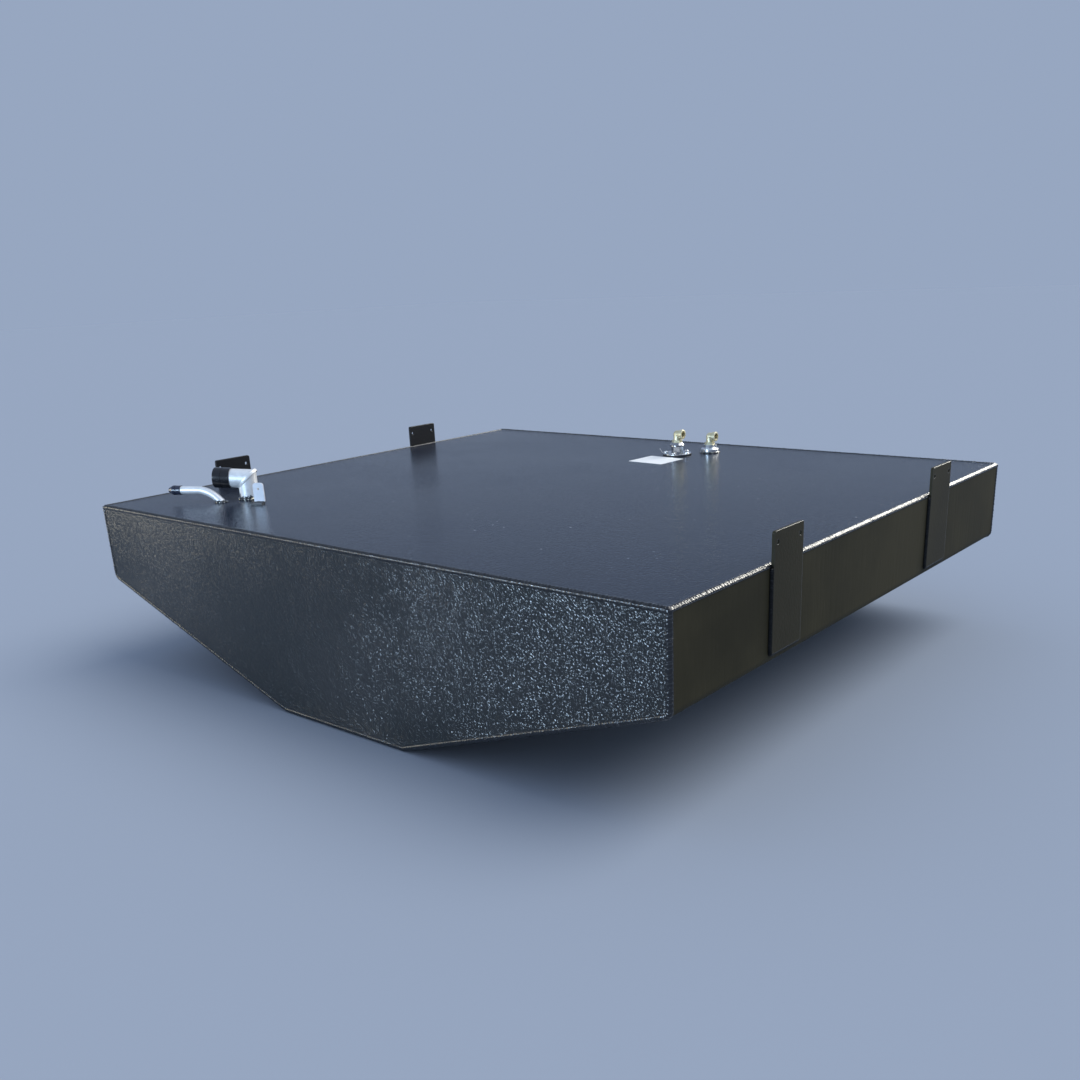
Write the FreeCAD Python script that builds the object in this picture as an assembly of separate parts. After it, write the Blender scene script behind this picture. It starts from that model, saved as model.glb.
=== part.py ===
import FreeCAD, Part
import math
import os

# A coated aluminium belly fuel tank, made to lie in the bottom of a V-shaped hull: flat on top, with upright
# sides, sloping bottom panels and a narrow flat keel face that it stands on. Filler neck, vent and bonding
# tab are at the front left; the gauge flange and the return fitting are at the rear.
#
# Millimetres. X runs across the tank, Y along it with the front end at -Y, and Z is up. The origin is on
# the keel face, under the middle of the tank. Heights named RISE are measured from the top of the tank.

V = FreeCAD.Vector
X_AXIS = V(1, 0, 0)
Y_AXIS = V(0, 1, 0)
UP = V(0, 0, 1)
ORIGIN = V(0, 0, 0)

# Tank body: bent belly sheet, two end plates and a top plate, all of one thickness
LENGTH = 1219.2
WIDTH = 1393.0
DEPTH = 334.4
SIDE_HEIGHT = 152.6
KEEL_WIDTH = 317.4
PLATE = 4.8
BEND_INSIDE_RADIUS = 9.5

# Baffles: two cross walls with fuel holes, cut corners and a bent flange along the top
BAFFLE_PLATE = 3.2
BAFFLE_PITCH = 406.4
BAFFLE_FLANGE = 28.0
BAFFLE_BEND_RADIUS = 3.0
BAFFLE_HOLE_RADIUS = 50.0
BAFFLE_HOLE_PITCH = 300.0
BAFFLE_HOLE_HEIGHT = 190.0
BAFFLE_CORNER_CUT = 32.0
BAFFLE_VENT_RADIUS = 16.0

# Hollow of a fillet weld's face: how far its middle lies from the root, as a share of its leg (0.5 is flat)
WELD_THROAT = 0.42

# Mounting tabs: flat bars welded to the sides, standing above the top, two bolt holes in each
TAB_WIDTH = 88.0
TAB_LENGTH = 186.0
TAB_THICKNESS = 4.8
RIGHT_TAB_RISE = 47.5
LEFT_TAB_RISE = 49.5
TAB_CORNER_RADIUS = 4.0
TAB_HOLE_RADIUS = 3.6
TAB_HOLE_PITCH = 68.0
TAB_HOLE_BELOW_END = 17.0
TAB_PITCH = 587.0
RIGHT_TAB_SHIFT = -10.4
LEFT_TAB_SHIFT = 6.2
TAB_WELD_LEG = 4.4

# Filler neck: two mitred lengths of tube, welded, with a push-on cap over the outlet
FILLER_FROM_LEFT = 225.0
FILLER_FROM_FRONT = 200.1
FILLER_RADIUS = 19.05
FILLER_WALL = 3.2
FILLER_AXIS_RISE = 40.3
FILLER_DIRECTION = 216.8
FILLER_TILT = 4.0
FILLER_REACH = 64.4
FILLER_INSIDE_DROP = 8.0
FILLER_WELD_LEG = 5.0
MITRE_WELD_RADIUS = 2.4
TUBE_HOLE_CLEARANCE = 0.1

# Filler cap: soft vinyl cup with a parting groove round its middle
FILLER_CAP_LENGTH = 34.4
FILLER_CAP_WALL = 1.3
CAP_END_WALL = 2.6
CAP_CLEARANCE = 0.3
CAP_GROOVE_WIDTH = 1.4
CAP_GROOVE_DEPTH = 0.7
FILLER_CAP_EDGE_RADIUS = 2.0

# Vent: one bent tube that leaves the top plate at a slant, with a bullet-nosed cap
VENT_FROM_LEFT = 206.0
VENT_FROM_FRONT = 145.1
VENT_RADIUS = 7.95
VENT_WALL = 1.6
VENT_DIRECTION = 207.5
VENT_SLANT = 45.0
VENT_BEND_RADIUS = 60.0
VENT_AXIS_RISE = 24.5
VENT_REACH = 96.0
VENT_INSIDE_LENGTH = 14.0
VENT_WELD_RADIUS = 2.6
VENT_CAP_WALL = 1.1
VENT_CAP_COLLAR = 11.0
VENT_CAP_NOSE = 15.5
VENT_CAP_NOSE_BAND = 5.4
VENT_CAP_NOSE_RADIUS = 9.6
VENT_CAP_TIP_RADIUS = 4.4
VENT_CAP_TIP_ROUND = 2.5

# Bonding tab: a strip bent to an L, foot welded flat on the top, one hole in the round-topped upright
BOND_FROM_LEFT = 291.5
BOND_FROM_FRONT = 177.6
BOND_FACING = -58.0
BOND_WIDTH = 22.0
BOND_THICKNESS = 3.2
BOND_RISE = 41.0
BOND_FOOT = 22.0
BOND_BEND_RADIUS = 2.5
BOND_TOP_FLAT = 4.5
BOND_HOLE_RADIUS = 2.3
BOND_HOLE_RISE = 29.0

# Gauge flange: a round plate on a gasket, held by screws, carrying the pickup and the level sender
FLANGE_X = 20.8
FLANGE_FROM_REAR = 180.6
FLANGE_RADIUS = 33.0
FLANGE_PLATE = 3.0
FLANGE_EDGE_RADIUS = 1.0
GASKET_PLATE = 2.0
FLANGE_OPENING_RADIUS = 21.0
FLANGE_SCREW_COUNT = 5
FLANGE_SCREW_CIRCLE = 27.0
FLANGE_SCREW_START = 213.4
SCREW_RADIUS = 2.4
SCREW_HEAD_RADIUS = 4.4
SCREW_HEAD_HEIGHT = 3.0
SCREW_CROWN_RADIUS = 1.5
SCREW_SLOT_WIDTH = 1.0
SCREW_SLOT_LENGTH = 5.0
SCREW_SLOT_DEPTH = 1.3
SCREW_LENGTH = 14.0
SCREW_HOLE_CLEARANCE = 0.4

# Flange fitting: hexagon with a domed collar above it, drilled through for the pickup
FITTING_HEX = 24.0
FITTING_HEX_HEIGHT = 15.0
FITTING_HEX_CORNER = -33.4
FITTING_COLLAR_RADIUS = 17.0
FITTING_COLLAR_TOP_RADIUS = 12.5
FITTING_COLLAR_HEIGHT = 8.5
FITTING_COLLAR_BAND = 3.0
HEX_CHAMFER = 1.2

# Brass elbows: hexagon foot, round neck and a female threaded outlet that points to the right side
ELBOW_SHANK_RADIUS = 8.0
ELBOW_SHANK_LENGTH = 9.0
ELBOW_HEX = 21.0
ELBOW_HEX_HEIGHT = 5.5
ELBOW_BODY_RADIUS = 8.6
ELBOW_AXIS_HEIGHT = 18.5
ELBOW_OUTLET_REACH = 17.0
ELBOW_COLLAR_RADIUS = 10.8
ELBOW_COLLAR_LENGTH = 9.0
ELBOW_PORT_RADIUS = 7.3
ELBOW_PORT_DEPTH = 12.0
ELBOW_PASSAGE_RADIUS = 4.6
ELBOW_EDGE_RADIUS = 1.0
SHANK_CLEARANCE = 0.05

# Pickup: dip tube under the flange fitting with a strainer on its end
DIP_TUBE_RADIUS = 6.35
DIP_TUBE_WALL = 1.4
DIP_TUBE_SEAT = 6.0
STRAINER_RADIUS = 12.0
STRAINER_HEIGHT = 34.0
STRAINER_WALL = 1.5
STRAINER_CLEARANCE_BELOW = 6.0
STRAINER_OVERLAP = 14.0

# Level sender: bracket, resistor housing and a float on a swinging wire arm
BRACKET_WIDTH = 11.0
BRACKET_PLATE = 1.6
BRACKET_FOOT = 6.5
BRACKET_BEND_RADIUS = 1.0
BRACKET_OFFSET = 8.4
SENDER_PIVOT_DROP = 165.0
HOUSING_WIDTH = 20.0
HOUSING_HEIGHT = 34.0
HOUSING_THICKNESS = 8.0
HOUSING_CORNER_RADIUS = 4.0
PIVOT_PIN_RADIUS = 2.5
PIVOT_PIN_LENGTH = 12.0
ARM_HUB_RADIUS = 6.5
ARM_HUB_LENGTH = 6.0
ARM_GAP = 0.4
ARM_WIRE_RADIUS = 1.5
ARM_LENGTH = 190.0
PIVOT_CLEARANCE = 0.06
FLOAT_RADIUS = 14.5
FLOAT_LENGTH = 42.0
FLOAT_EDGE_RADIUS = 3.0
FLOAT_CLEARANCE = 6.7

# Sender terminals: an insulated stud behind the fitting and a ground spade under one flange screw
STUD_ANGLE = 116.6
STUD_CIRCLE = 17.2
STUD_RADIUS = 1.9
STUD_RISE = 13.0
STUD_WASHER_RADIUS = 3.4
STUD_WASHER_HEIGHT = 2.0
STUD_NUT = 6.0
STUD_NUT_HEIGHT = 3.0
SPADE_WIDTH = 7.5
SPADE_PLATE = 0.8
SPADE_FOOT = 7.0
SPADE_BLADE = 12.0
SPADE_LIFT = 55.0

# Return fitting: a round bung welded on the top, a hexagon bushing, an elbow and a short drop tube
RETURN_X = 72.0
RETURN_FROM_REAR = 120.1
BUNG_RADIUS = 20.5
BUNG_HEIGHT = 10.5
BUNG_EDGE_RADIUS = 2.5
BUNG_SPIGOT_RADIUS = 15.5
BUNG_SPIGOT_DROP = 4.0
BUNG_WELD_LEG = 4.0
BUSHING_HEX = 27.0
BUSHING_HEX_HEIGHT = 8.0
BUSHING_SHANK_RADIUS = 12.0
BUSHING_SHANK_LENGTH = 12.0
RETURN_TUBE_RADIUS = 4.8
RETURN_TUBE_WALL = 1.2
RETURN_TUBE_LENGTH = 210.0

# Label: a blank white sticker, a little crooked
LABEL_X = 20.0
LABEL_FROM_REAR = 266.6
LABEL_WIDTH = 93.0
LABEL_LENGTH = 84.0
LABEL_THICKNESS = 0.3
LABEL_TURN = -3.0
LABEL_CORNER_RADIUS = 1.5

HALF_LENGTH = LENGTH / 2
HALF_WIDTH = WIDTH / 2
SLOPE = math.atan2(DEPTH - SIDE_HEIGHT, (WIDTH - KEEL_WIDTH) / 2)
FILLER_X = FILLER_FROM_LEFT - HALF_WIDTH
FILLER_Y = FILLER_FROM_FRONT - HALF_LENGTH
VENT_X = VENT_FROM_LEFT - HALF_WIDTH
VENT_Y = VENT_FROM_FRONT - HALF_LENGTH
BOND_X = BOND_FROM_LEFT - HALF_WIDTH
BOND_Y = BOND_FROM_FRONT - HALF_LENGTH
FLANGE_Y = HALF_LENGTH - FLANGE_FROM_REAR
RETURN_Y = HALF_LENGTH - RETURN_FROM_REAR
LABEL_Y = HALF_LENGTH - LABEL_FROM_REAR
FITTING_BASE = DEPTH + GASKET_PLATE + FLANGE_PLATE
FITTING_TOP = FITTING_BASE + FITTING_HEX_HEIGHT + FITTING_COLLAR_HEIGHT
BUSHING_TOP = DEPTH + BUNG_HEIGHT + BUSHING_HEX_HEIGHT

nodes = {}


# Helpers for outlines, bent paths and turned shapes

def rounded_corner(before, corner, after, radius):
    """Start, middle and end of the arc that rounds a corner between two straight runs."""
    to_before = (before - corner).normalize()
    to_after = (after - corner).normalize()
    bisector = (to_before + to_after).normalize()
    half_angle = to_before.getAngle(bisector)
    tangent = radius / math.tan(half_angle)
    middle = corner + bisector * (radius / math.sin(half_angle) - radius)
    return corner + to_before * tangent, middle, corner + to_after * tangent


def outline(points, radii):
    """Closed wire through the points, with each corner rounded by its own radius, or sharp where it is 0."""
    count = len(points)
    edges = []
    stops = []
    for i, (corner, radius) in enumerate(zip(points, radii)):
        if radius > 0:
            arc = rounded_corner(points[i - 1], corner, points[(i + 1) % count], radius)
            edges.append(Part.Arc(*arc).toShape())
            stops.append((arc[0], arc[2]))
        else:
            stops.append((corner, corner))
    for i in range(count):
        start, end = stops[i][1], stops[(i + 1) % count][0]
        if start.distanceToPoint(end) > 1e-6:
            edges.append(Part.LineSegment(start, end).toShape())
    return Part.Wire(Part.__sortEdges__(edges))


def bent_path(points, radius):
    """Open wire of straight runs through the points, joined by arcs of one radius."""
    edges = []
    start = points[0]
    for before, corner, after in zip(points, points[1:], points[2:]):
        arc = rounded_corner(before, corner, after, radius)
        edges.append(Part.LineSegment(start, arc[0]).toShape())
        edges.append(Part.Arc(*arc).toShape())
        start = arc[2]
    edges.append(Part.LineSegment(start, points[-1]).toShape())
    return Part.Wire(edges)


def round_bar(path, radius):
    """Solid round bar that follows a path."""
    start = path.Edges[0]
    direction = start.tangentAt(start.FirstParameter)
    section = Part.Wire(Part.Circle(start.valueAt(start.FirstParameter), direction, radius).toShape())
    return path.makePipeShell([section], True, True)


def plate_of(wire, thickness, direction):
    """Flat plate: a closed wire filled and given a thickness."""
    return Part.Face(wire).extrude(direction * thickness)


def cylinder(radius, bottom, top, x=0.0, y=0.0):
    """Upright cylinder between two heights."""
    return Part.makeCylinder(radius, top - bottom, V(x, y, bottom), UP)


def tube(outer, inner, bottom, top, x=0.0, y=0.0):
    """Upright tube between two heights, open at both ends."""
    return cylinder(outer, bottom, top, x, y).cut(cylinder(inner, bottom, top, x, y))


def turned(profile):
    """Solid of revolution about the Z axis from (radius, height) points."""
    points = [V(radius, 0, height) for radius, height in profile]
    return Part.Face(Part.makePolygon(points + points[:1])).revolve(ORIGIN, UP, 360)


def hexagon(across_flats, bottom, top, first_corner):
    """Upright hexagon bar with its top corners turned off, as on a nut."""
    corner_radius = across_flats / 2 / math.cos(math.radians(30))
    angles = [math.radians(first_corner + 60 * i) for i in range(6)]
    corners = [V(corner_radius * math.cos(a), corner_radius * math.sin(a), bottom) for a in angles]
    bar = Part.Face(Part.makePolygon(corners + corners[:1])).extrude(UP * (top - bottom))
    envelope = turned([
        (0, bottom),
        (corner_radius, bottom),
        (corner_radius, top - HEX_CHAMFER / 2),
        (corner_radius - HEX_CHAMFER, top),
        (0, top),
    ])
    return bar.common(envelope)


def fillet_ring(radius, height, leg):
    """Fillet weld round an upright tube, with a slightly hollow face."""
    inner, outer, top = V(radius, 0, height), V(radius + leg, 0, height), V(radius, 0, height + leg)
    middle = V(radius + leg * WELD_THROAT, 0, height + leg * WELD_THROAT)
    edges = [
        Part.LineSegment(inner, outer).toShape(),
        Part.Arc(outer, middle, top).toShape(),
        Part.LineSegment(top, inner).toShape(),
    ]
    return Part.Face(Part.Wire(edges)).revolve(ORIGIN, UP, 360)


def placed(shape, x, y, turn=0.0):
    """Copy of a shape turned about the Z axis and moved sideways."""
    copy = shape.copy()
    copy.rotate(ORIGIN, UP, turn)
    copy.translate(V(x, y, 0))
    return copy


def mirrored_end(shape):
    """Copy of a front shape for the rear end."""
    return shape.mirror(ORIGIN, Y_AXIS)


# Tank body

def section_points(inset, top, y):
    """Corners of the tank's cross-section, moved inwards by an inset and cut off level at the top."""
    knuckle_z = DEPTH - SIDE_HEIGHT + inset * (1 - math.sin(SLOPE)) / math.cos(SLOPE)
    keel_x = KEEL_WIDTH / 2 - inset * (1 - math.cos(SLOPE)) / math.sin(SLOPE)
    right = [(HALF_WIDTH - inset, top), (HALF_WIDTH - inset, knuckle_z), (keel_x, inset)]
    left = [(-x, z) for x, z in reversed(right)]
    return [V(x, y, z) for x, z in right + left]


def section_wire(inset, top, y):
    """The cross-section's closed outline with its four bends rounded."""
    bend = BEND_INSIDE_RADIUS + PLATE - inset
    return outline(section_points(inset, top, y), [0, bend, bend, bend, bend, 0])


def belly_shell():
    """Sides, sloping panels and keel: one sheet with four bends, open at both ends and on top."""
    start = -HALF_LENGTH + PLATE
    run = Y_AXIS * (LENGTH - 2 * PLATE)
    outside = Part.Face(section_wire(0, DEPTH - PLATE, start)).extrude(run)
    inside = Part.Face(section_wire(PLATE, DEPTH, start)).extrude(run)
    return outside.cut(inside)


def front_end_plate():
    """Flat end plate, set in by one plate thickness all round so that the seam weld fills the corner."""
    return plate_of(section_wire(PLATE, DEPTH - PLATE, -HALF_LENGTH), PLATE, Y_AXIS)


def top_plate():
    """Flat lid with holes for the filler, the vent, the gauge flange and the return bung."""
    width, length = WIDTH - 2 * PLATE, LENGTH - 2 * PLATE
    plate = Part.makeBox(width, length, PLATE, V(-width / 2, -length / 2, DEPTH - PLATE))
    below, above = DEPTH - 2 * PLATE, DEPTH + PLATE
    filler_hole = cylinder(FILLER_RADIUS + TUBE_HOLE_CLEARANCE, below, above, FILLER_X, FILLER_Y)
    vent_hole = placed(vent_bar(VENT_RADIUS + TUBE_HOLE_CLEARANCE), VENT_X, VENT_Y, VENT_DIRECTION)
    gauge_opening = cylinder(FLANGE_OPENING_RADIUS, below, above, FLANGE_X, FLANGE_Y)
    bung_hole = cylinder(BUNG_SPIGOT_RADIUS + TUBE_HOLE_CLEARANCE, below, above, RETURN_X, RETURN_Y)
    holes = [filler_hole, vent_hole, gauge_opening, bung_hole] + screw_bars(SCREW_RADIUS, below, above)
    return plate.cut(holes)


def baffle():
    """Cross wall bent from sheet: its edge meets the belly, its top flange meets the lid."""
    lid = DEPTH - PLATE
    web = plate_of(section_wire(PLATE, lid, 0), BAFFLE_PLATE, Y_AXIS)
    flange_width = WIDTH - 2 * PLATE - 2 * BAFFLE_CORNER_CUT
    profile = [V(-flange_width / 2, y, z) for y, z in (
        (0, lid - BAFFLE_FLANGE), (0, lid), (BAFFLE_FLANGE, lid), (BAFFLE_FLANGE, lid - BAFFLE_PLATE),
        (BAFFLE_PLATE, lid - BAFFLE_PLATE), (BAFFLE_PLATE, lid - BAFFLE_FLANGE))]
    radii = [0, BAFFLE_BEND_RADIUS + BAFFLE_PLATE, 0, 0, BAFFLE_BEND_RADIUS, 0]
    flange = plate_of(outline(profile, radii), flange_width, X_AXIS)
    edge_strip = Part.makeBox(WIDTH, BAFFLE_PLATE, BAFFLE_FLANGE, V(-HALF_WIDTH, 0, lid - BAFFLE_FLANGE))
    wall = web.cut(edge_strip).fuse(flange).removeSplitter()
    holes = []
    for x in (-BAFFLE_HOLE_PITCH, 0, BAFFLE_HOLE_PITCH):
        holes.append(Part.makeCylinder(
            BAFFLE_HOLE_RADIUS, 2 * BAFFLE_PLATE, V(x, -BAFFLE_PLATE / 2, BAFFLE_HOLE_HEIGHT), Y_AXIS))
    for corner in section_points(PLATE, lid, -BAFFLE_PLATE / 2)[1:5]:
        holes.append(Part.makeCylinder(BAFFLE_CORNER_CUT, 2 * BAFFLE_PLATE, corner, Y_AXIS))
    for x in (-BAFFLE_HOLE_PITCH, BAFFLE_HOLE_PITCH):
        slot = Part.makeCylinder(BAFFLE_VENT_RADIUS, BAFFLE_FLANGE * 2, V(x, -BAFFLE_FLANGE / 2, lid), Y_AXIS)
        holes.append(slot)
    return wall.cut(holes)


# Seam welds

def seam_section(corner, along_first, along_second):
    """Bead in an open corner joint: a quarter round that fills the square notch between two plates."""
    first = corner + along_first * PLATE
    second = corner + along_second * PLATE
    root = corner + (along_first + along_second) * PLATE
    crown = root - (along_first + along_second) * (PLATE * math.sqrt(0.5))
    edges = [
        Part.Arc(first, crown, second).toShape(),
        Part.LineSegment(second, root).toShape(),
        Part.LineSegment(root, first).toShape(),
    ]
    return Part.Wire(edges)


def top_seam_weld():
    """Bead all round the lid, mitred at the corners: the rear half and its mirror image."""
    start = V(HALF_WIDTH, 0, DEPTH)
    turns = [(HALF_WIDTH, HALF_LENGTH), (-HALF_WIDTH, HALF_LENGTH), (-HALF_WIDTH, 0)]
    path = Part.makePolygon([start] + [V(x, y, DEPTH) for x, y in turns])
    rear_half = path.makePipeShell([seam_section(start, V(0, 0, -1), V(-1, 0, 0))], True, False, 1)
    return rear_half.fuse(mirrored_end(rear_half)).removeSplitter()


def front_seam_weld():
    """Bead that joins the front end plate to the belly, down one side, round the bends and up the other."""
    points = section_points(0, DEPTH - PLATE, -HALF_LENGTH)
    path = bent_path(points, BEND_INSIDE_RADIUS + PLATE)
    return path.makePipeShell([seam_section(points[0], Y_AXIS, V(-1, 0, 0))], True, False)


# Mounting tabs

def mounting_tab(side, centre_y, rise):
    """Flat bar with rounded ends and two bolt holes, lying against a side wall (side is 1 or -1)."""
    top = DEPTH + rise
    bottom = top - TAB_LENGTH
    half = TAB_WIDTH / 2
    x = side * HALF_WIDTH
    corners = [V(x, centre_y + dy, z) for dy, z in (
        (-half, bottom), (half, bottom), (half, top), (-half, top))]
    bar = plate_of(outline(corners, [TAB_CORNER_RADIUS] * 4), TAB_THICKNESS, X_AXIS * side)
    for dy in (-TAB_HOLE_PITCH / 2, TAB_HOLE_PITCH / 2):
        centre = V(x - side * TAB_THICKNESS / 2, centre_y + dy, top - TAB_HOLE_BELOW_END)
        bar = bar.cut(Part.makeCylinder(TAB_HOLE_RADIUS, 2 * TAB_THICKNESS, centre, X_AXIS * side))
    return bar


def tab_weld(side, centre_y, rise, tab):
    """Fillet weld along both edges and the foot of a tab, up to the top seam."""
    drop = TAB_LENGTH - rise
    foot, head = [], []
    for wire, grow, x in ((foot, TAB_WELD_LEG, HALF_WIDTH), (head, 0, HALF_WIDTH + TAB_WELD_LEG)):
        half = TAB_WIDTH / 2 + grow
        bottom = DEPTH - drop - grow
        top = DEPTH + PLATE
        wire.extend(V(side * x, centre_y + dy, z) for dy, z in (
            (-half, bottom), (half, bottom), (half, top), (-half, top)))
    sections = [Part.makePolygon(points + points[:1]) for points in (foot, head)]
    above = Part.makeBox(WIDTH * 2, TAB_WIDTH * 2, 4 * PLATE, V(-WIDTH, centre_y - TAB_WIDTH, DEPTH - PLATE))
    sharp_tab = Part.makeBox(
        TAB_THICKNESS, TAB_WIDTH, drop, V(HALF_WIDTH, centre_y - TAB_WIDTH / 2, DEPTH - drop))
    if side < 0:
        sharp_tab = sharp_tab.mirror(ORIGIN, X_AXIS)
    corner_fill = sharp_tab.common(Part.makeLoft(sections, True, True)).cut(tab)
    return Part.makeLoft(sections, True, True).cut([above, sharp_tab]).fuse(corner_fill).removeSplitter()


# Filler neck. It is drawn with the outlet along +X from a riser on the Z axis, then turned and moved.

def filler_frame():
    """Corner point of the mitre, direction of the outlet, and the mitre plane's normal."""
    corner = V(0, 0, DEPTH + FILLER_AXIS_RISE)
    tilt = math.radians(FILLER_TILT)
    outlet = V(math.cos(tilt), 0, math.sin(tilt))
    return corner, outlet, (UP + outlet).normalize()


def mitre_half_space(side):
    """Big block on one side of the mitre plane: side is 1 for the outlet's and -1 for the riser's."""
    corner, _, normal = filler_frame()
    size = 6 * FILLER_RADIUS
    block = Part.makeBox(size, size, size, V(-size / 2, -size / 2, 0 if side > 0 else -size))
    block.Placement = FreeCAD.Placement(corner, FreeCAD.Rotation(UP, normal))
    return block


def filler_bars(radius):
    """Riser and outlet as solid bars of one radius, mitred where they meet."""
    corner, outlet, _ = filler_frame()
    bottom = DEPTH - PLATE - FILLER_INSIDE_DROP
    riser = cylinder(radius, bottom, corner.z + 2 * FILLER_RADIUS).cut(mitre_half_space(1))
    back = 2 * FILLER_RADIUS
    spout = Part.makeCylinder(radius, FILLER_REACH + back, corner - outlet * back, outlet)
    return riser, spout.cut(mitre_half_space(-1))


def filler_tubes():
    """The two mitred tubes."""
    return [outer.cut(inner) for outer, inner in zip(
        filler_bars(FILLER_RADIUS), filler_bars(FILLER_RADIUS - FILLER_WALL))]


def mitre_weld():
    """Raised bead round the mitre, on the outside of the tubes."""
    corner, outlet, normal = filler_frame()
    across = Y_AXIS
    along = normal.cross(across)
    half_major = FILLER_RADIUS / math.cos(outlet.getAngle(normal))
    ellipse = Part.Ellipse(corner + along * half_major, corner + across * FILLER_RADIUS, corner)
    ring = round_bar(Part.Wire(ellipse.toShape()), MITRE_WELD_RADIUS)
    return ring.cut(list(filler_bars(FILLER_RADIUS)))


def filler_cap():
    """Soft cup pushed over the outlet, drawn upright from its closed end and then laid on the outlet."""
    inner = FILLER_RADIUS + CAP_CLEARANCE
    outer = inner + FILLER_CAP_WALL
    top = CAP_END_WALL + CAP_CLEARANCE
    cup = cylinder(outer, 0, FILLER_CAP_LENGTH)
    cup = cup.makeFillet(FILLER_CAP_EDGE_RADIUS, [e for e in cup.Edges if abs(e.BoundBox.ZMax) < 1e-6])
    middle = FILLER_CAP_LENGTH / 2
    half_groove = CAP_GROOVE_WIDTH / 2
    groove = tube(outer + 1, outer - CAP_GROOVE_DEPTH, middle - half_groove, middle + half_groove)
    cup = cup.cut([cylinder(inner, CAP_END_WALL, FILLER_CAP_LENGTH), groove])
    corner, outlet, _ = filler_frame()
    seat = corner + outlet * (FILLER_REACH + top)
    cup.Placement = FreeCAD.Placement(seat, FreeCAD.Rotation(UP, outlet * -1))
    return cup


# Vent. It is drawn with the outlet along +X, its slanting foot crossing the top of the tank on the Z axis.

def vent_path():
    """Centre line of the vent tube."""
    slant = math.radians(VENT_SLANT)
    rise = VENT_AXIS_RISE
    foot = V(-VENT_INSIDE_LENGTH * math.cos(slant), 0, DEPTH - VENT_INSIDE_LENGTH * math.sin(slant))
    knee = V(rise / math.tan(slant), 0, DEPTH + rise)
    return bent_path([foot, knee, V(VENT_REACH, 0, DEPTH + rise)], VENT_BEND_RADIUS)


def vent_bar(radius):
    """The vent as a solid bar."""
    return round_bar(vent_path(), radius)


def vent_tube():
    """The bent vent tube."""
    return vent_bar(VENT_RADIUS).cut(vent_bar(VENT_RADIUS - VENT_WALL))


def vent_weld():
    """Bead round the slanting foot of the vent, on top of the lid."""
    centre = V(0, 0, DEPTH)
    half_major = VENT_RADIUS / math.sin(math.radians(VENT_SLANT))
    ellipse = Part.Ellipse(centre + X_AXIS * half_major, centre + Y_AXIS * VENT_RADIUS, centre)
    ring = round_bar(Part.Wire(ellipse.toShape()), VENT_WELD_RADIUS)
    size = 4 * half_major
    below = Part.makeBox(size, size, size, V(-size / 2, -size / 2, DEPTH - size))
    return ring.cut([vent_bar(VENT_RADIUS), below])


def vent_cap():
    """Bullet-nosed cap: a thin collar over the tube, a groove and a tapered nose."""
    inner = VENT_RADIUS + CAP_CLEARANCE
    collar = inner + VENT_CAP_WALL
    nose_end = VENT_CAP_COLLAR + CAP_GROOVE_WIDTH + VENT_CAP_NOSE
    shoulder = VENT_CAP_COLLAR + CAP_GROOVE_WIDTH
    body = turned([
        (0, 0),
        (collar, 0),
        (collar, VENT_CAP_COLLAR),
        (collar - CAP_GROOVE_DEPTH, VENT_CAP_COLLAR),
        (collar - CAP_GROOVE_DEPTH, shoulder),
        (VENT_CAP_NOSE_RADIUS, shoulder),
        (VENT_CAP_NOSE_RADIUS, shoulder + VENT_CAP_NOSE_BAND),
        (VENT_CAP_TIP_RADIUS, nose_end),
        (0, nose_end),
    ])
    tip = [e for e in body.Edges if abs(e.BoundBox.ZMin - nose_end) < 1e-6 and len(e.Vertexes) == 1]
    body = body.makeFillet(VENT_CAP_TIP_ROUND, tip)
    body = body.cut(cylinder(inner, -1, VENT_CAP_COLLAR))
    seat = V(VENT_REACH + CAP_CLEARANCE - VENT_CAP_COLLAR, 0, DEPTH + VENT_AXIS_RISE)
    body.Placement = FreeCAD.Placement(seat, FreeCAD.Rotation(UP, X_AXIS))
    return body


# Bonding tab

def bonding_tab():
    """Strip bent to an L, drawn with the upright's face towards +X, then turned to its own bearing."""
    half = BOND_WIDTH / 2
    inner_x = BOND_THICKNESS
    profile = [V(x, -half, z) for x, z in (
        (0, DEPTH), (BOND_FOOT, DEPTH), (BOND_FOOT, DEPTH + BOND_THICKNESS),
        (inner_x, DEPTH + BOND_THICKNESS), (inner_x, DEPTH + BOND_RISE), (0, DEPTH + BOND_RISE))]
    radii = [BOND_BEND_RADIUS + BOND_THICKNESS, 0, 0, BOND_BEND_RADIUS, 0, 0]
    strip = plate_of(outline(profile, radii), BOND_WIDTH, Y_AXIS)
    top = DEPTH + BOND_RISE
    shape = [V(-1, y, z) for y, z in ((-half, DEPTH), (half, DEPTH), (half, top), (-half, top))]
    full_round = half - BOND_TOP_FLAT
    mask = plate_of(outline(shape, [0, 0, full_round, full_round]), BOND_FOOT + 2, X_AXIS)
    hole_centre = V(-BOND_THICKNESS, 0, DEPTH + BOND_HOLE_RISE)
    hole = Part.makeCylinder(BOND_HOLE_RADIUS, 3 * BOND_THICKNESS, hole_centre, X_AXIS)
    return strip.common(mask).cut(hole)


# Gauge flange and its fitting. Everything on it is drawn about the Z axis and then moved to the flange.

def screw_bars(radius, bottom, top):
    """Upright bars at the flange's screw positions, in place on the tank."""
    bars = []
    for i in range(FLANGE_SCREW_COUNT):
        angle = math.radians(FLANGE_SCREW_START + 360 * i / FLANGE_SCREW_COUNT)
        x = FLANGE_X + FLANGE_SCREW_CIRCLE * math.cos(angle)
        y = FLANGE_Y + FLANGE_SCREW_CIRCLE * math.sin(angle)
        bars.append(cylinder(radius, bottom, top, x, y))
    return bars


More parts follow.
